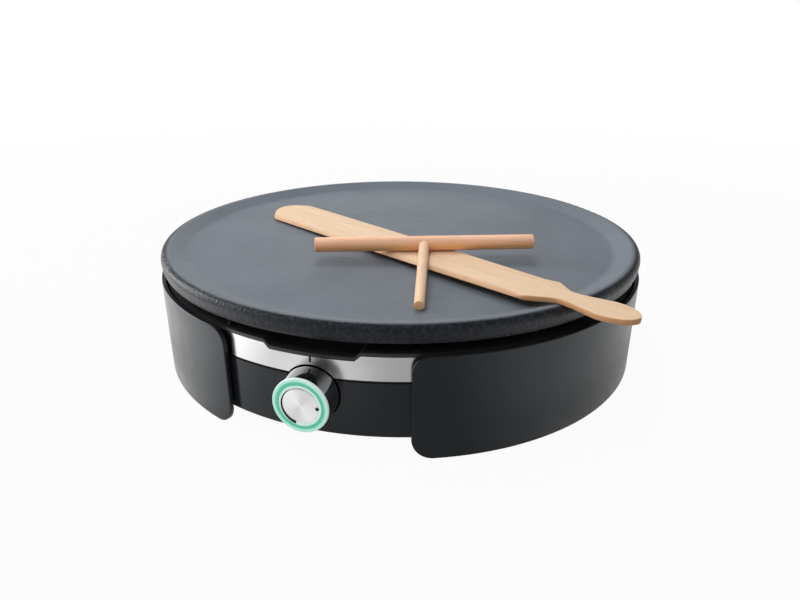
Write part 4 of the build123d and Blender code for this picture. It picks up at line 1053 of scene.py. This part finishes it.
def makeBoot():
    inside, drum, flange, mouth = (boot[part] for part in ("inner", "drum", "flange", "mouth"))
    wide, body, edge = boot["flangeRadius"], boot["body"], boot["edge"]
    footEdge, topEdge = boot["flangeEdge"]
    outer = [(boot["bore"], inside), (body - edge, inside), (body, inside + edge)]
    outer += [(body, boot["latchFoot"]), (boot["latchRadius"], boot["latchTop"]), (body, boot["latchTop"])]
    outer += [(body, drum), (wide - footEdge, drum), (wide, drum + footEdge)]
    outer += [(wide, flange - topEdge), (wide - topEdge, flange)]
    span = (mouth - flange) / boot["ribs"]
    for n in range(boot["ribs"]):
        for share, depth in boot["ribProfile"]:
            place = flange + span * n + span * share
            reach = boot["neck"] + (boot["tip"] - boot["neck"]) * (place - flange) / (mouth - flange)
            outer.append((reach - boot["ribHeight"] * depth, place))
    outer += [(boot["tip"] - edge, mouth), (boot["bore"], mouth), (boot["bore"], inside)]
    axis = standing((0, 0, boot["height"]), (0, 1, 0))
    mesh = turned("ribbedBoot", outer, "glandRubber", axis, boot["steps"])
    addObject("ribbedBoot", mesh, "glandRubber", "cooker", ["cord_gland"])


def makeFeet():
    hollow, top, foot, rounding = (feet[part] for part in ("hollow", "ringTop", "ringFoot", "rounding"))
    profile = [(0, hollow)]
    for reach in feet["rings"]:
        profile += [(reach - foot, hollow), (reach - top, 0), (reach + top, 0), (reach + foot, hollow)]
    soft = feet["radius"] - rounding
    profile += [(soft - foot, hollow), (soft - top, 0), (soft, 0)]
    for n in range(1, feet["roundingSteps"] + 1):
        turn = radians(90 / feet["roundingSteps"] * n)
        profile.append((soft + rounding * sin(turn), rounding * (1 - cos(turn))))
    profile += [(feet["radius"], feet["top"]), (feet["stem"], feet["top"]), (feet["stem"], feet["cover"])]
    profile += [(feet["head"], feet["cover"]), (feet["head"] * feet["headShare"], feet["headTop"])]
    profile.append((0, feet["headTop"]))
    mesh = turned("treadedFeet", profile, "footRubber", None, feet["steps"], feet["count"], feet["ring"])
    addObject("treadedFeet", mesh, "footRubber", "cooker", ["rubber_feet"])


makeBoot()
makeFeet()
print("rubber parts made")

# floor, world and lamps: bright behind and at the sides, dimmer towards the camera
studio = {
    "floorSize": 12.0,
    "floorDrop": 0.0004,
    "floorColour": (0.42, 0.42, 0.42),
    "floorRough": 0.9,
    "floorSpecular": 0.1,
    "floorWhite": 0.955,
    "fade": (0.45, 1.3),
    "worldFill": 0.30,
    # share of white that gloss finds at each bearing (degrees, 0 = +X), on the floor and above it
    "floorBearings": [
        (-180, 1.15), (-147, 1.35), (-134, 1.30), (-117, 0.76), (-111, 0.60), (-90, 0.40), (-73, 0.33),
        (-60, 0.30), (-37, 0.85), (-4, 0.9), (60, 0.80), (120, 0.9), (180, 1.0),
    ],
    "skyBearings": [
        (-180, 1.0), (-145, 0.90), (-100, 0.25), (-73, 0.10), (-37, 0.35), (0, 0.62), (60, 0.20), (86, 0.15),
        (100, 0.80), (112, 1.0), (122, 1.0), (130, 0.10), (148, 0.10), (158, 1.0), (180, 1.0),
    ],
    "gloss": 1.35,
    # painted shadow of the panels on the floor, seen in gloss
    "footReach": (0.197, 0.230),
    "footSides": (0.10, 0.16),
    "footShade": 0.34,
    # painted pool of light before the knob, seen in gloss
    "poolPlace": (-0.02, -0.255, 0.0),
    "poolReach": (0.03, 0.09),
    "poolGloss": 1.38,
    "skyRise": (0.34, 0.66),
    "topShare": 0.08,
    "lampAim": (0, 0, 0.05),
}


def byBearing(tree, parts, stops):
    # brightness that changes with the direction round +Z
    turn = calc(tree, "DIVIDE", calc(tree, "ARCTAN2", parts["Y"], parts["X"]), 2 * pi)
    tones = [((degree + 180) / 360, share) for degree, share in stops]
    return calc(tree, "MULTIPLY", ramp(tree, calc(tree, "ADD", turn, 0.5), tones), studio["gloss"])


def lookRays(tree):
    # camera rays, and the rays of gloss and clear plastic
    path = put(tree, "ShaderNodeLightPath").outputs
    return path["Is Camera Ray"], calc(tree, "MAXIMUM", path["Is Glossy Ray"], path["Is Transmission Ray"])


def floorMirror(tree, glossy, parts, reach):
    # what gloss finds on the floor
    found = calc(tree, "MULTIPLY", byBearing(tree, parts, studio["floorBearings"]), glossy)
    # painted shadow: the floor's glow seen in gloss is dimmed at the panels' feet
    sideways = calc(tree, "ABSOLUTE", parts["X"])
    aside = remap(tree, sideways, *studio["footSides"], 0.0, studio["footShade"])
    near = remap(tree, reach, *studio["footReach"], 1.0, 0.0)
    found = calc(tree, "MULTIPLY", found, calc(tree, "SUBTRACT", 1.0, calc(tree, "MULTIPLY", aside, near)))
    # painted pool of light: the floor's glow seen in gloss is brighter just before the knob, as if lit by it
    ends = {0: objectCoords(tree), 1: studio["poolPlace"]}
    away = put(tree, "ShaderNodeVectorMath", ends, operation="DISTANCE").outputs["Value"]
    pool = remap(tree, away, *studio["poolReach"], studio["poolGloss"], 1.0, smooth=True)
    return calc(tree, "MULTIPLY", found, pool)


def makeFloor():
    mesh = bpy.data.meshes.new("studioFloor")
    half = studio["floorSize"] / 2
    sides = ((-half, -half), (half, -half), (half, half), (-half, half))
    mesh.from_pydata([(x, y, -studio["floorDrop"]) for x, y in sides], [], [(0, 1, 2, 3)])
    floor = bpy.data.objects.new("studioFloor", mesh)
    scene.collection.objects.link(floor)
    settings = {"Base Color": studio["floorColour"], "Roughness": studio["floorRough"]}
    settings["Specular IOR Level"] = studio["floorSpecular"]
    material, tree, shader = startMaterial("studioWhite", settings)
    camera, glossy = lookRays(tree)
    parts = splitCoords(tree, objectCoords(tree))
    reach = apart(tree, parts["X"], parts["Y"])
    mirrored = floorMirror(tree, glossy, parts, reach)
    seen = calc(tree, "MULTIPLY", remap(tree, reach, *studio["fade"], studio["floorWhite"], 1.0), camera)
    bright = {"Color": (1, 1, 1, 1), "Strength": calc(tree, "ADD", seen, mirrored)}
    white = put(tree, "ShaderNodeEmission", bright).outputs[0]
    # the glow takes the place of the floor's own light, but for a small share that shows the shadow
    dark = put(tree, "ShaderNodeBsdfTransparent", {"Color": (0, 0, 0, 1)}).outputs[0]
    share = calc(tree, "MAXIMUM", seen, calc(tree, "GREATER_THAN", mirrored, 0.001))
    plain = put(tree, "ShaderNodeMixShader", {0: share, 1: shader.outputs[0], 2: dark}).outputs[0]
    total = put(tree, "ShaderNodeAddShader", {0: plain, 1: white}).outputs[0]
    # from below the floor lets the eye through to the underside
    clear = put(tree, "ShaderNodeBsdfTransparent").outputs[0]
    below = calc(tree, "MULTIPLY", put(tree, "ShaderNodeNewGeometry").outputs["Backfacing"], camera)
    whole = put(tree, "ShaderNodeMixShader", {0: below, 1: total, 2: clear}).outputs[0]
    tree.links.new(whole, tree.nodes["Material Output"].inputs["Surface"])
    mesh.materials.append(material)


def makeWorld():
    world = bpy.data.worlds.new("studioWorld")
    world.use_nodes = True
    tree = world.node_tree
    back = tree.nodes["Background"]
    back.inputs["Color"].default_value = (1, 1, 1, 1)
    camera, glossy = lookRays(tree)
    parts = splitCoords(tree, put(tree, "ShaderNodeTexCoord").outputs["Generated"])
    above = remap(tree, parts["Z"], *studio["skyRise"], 1.0, studio["topShare"], smooth=True)
    mirrored = calc(tree, "MULTIPLY", byBearing(tree, parts, studio["skyBearings"]), above)
    strength = studio["worldFill"]
    for ray, value in ((glossy, mirrored), (camera, 1.0)):
        strength = put(tree, "ShaderNodeMix", {0: ray, 2: strength, 3: value}, data_type="FLOAT").outputs[0]
    tree.links.new(strength, back.inputs["Strength"])
    scene.world = world


# softboxes light the object and mostly stay out of its reflections
lamps = {
    "backSoftbox": {"place": (-0.36, 0.80, 1.40), "size": (0.9, 0.6), "power": 11.8, "mirrored": False},
    "topSoftbox": {"place": (-0.38, -0.66, 1.50), "size": (1.4, 1.0), "power": 13.2, "mirrored": False},
    "leftSoftbox": {"place": (-1.30, 0.05, 0.50), "size": (0.6, 0.9), "power": 9.5, "mirrored": True},
}


def makeLamps():
    for name, setup in lamps.items():
        data = bpy.data.lights.new(name, "AREA")
        data.shape = "RECTANGLE"
        data.size, data.size_y = setup["size"]
        data.energy = setup["power"]
        lamp = bpy.data.objects.new(name, data)
        lamp.visible_glossy = setup["mirrored"]
        scene.collection.objects.link(lamp)
        aim = Vector(studio["lampAim"]) - Vector(setup["place"])
        lamp.matrix_world = standing(setup["place"], aim, "-Z")


makeFloor()
makeWorld()
makeLamps()
scene.view_settings.view_transform = "Standard"
print("studio ready")
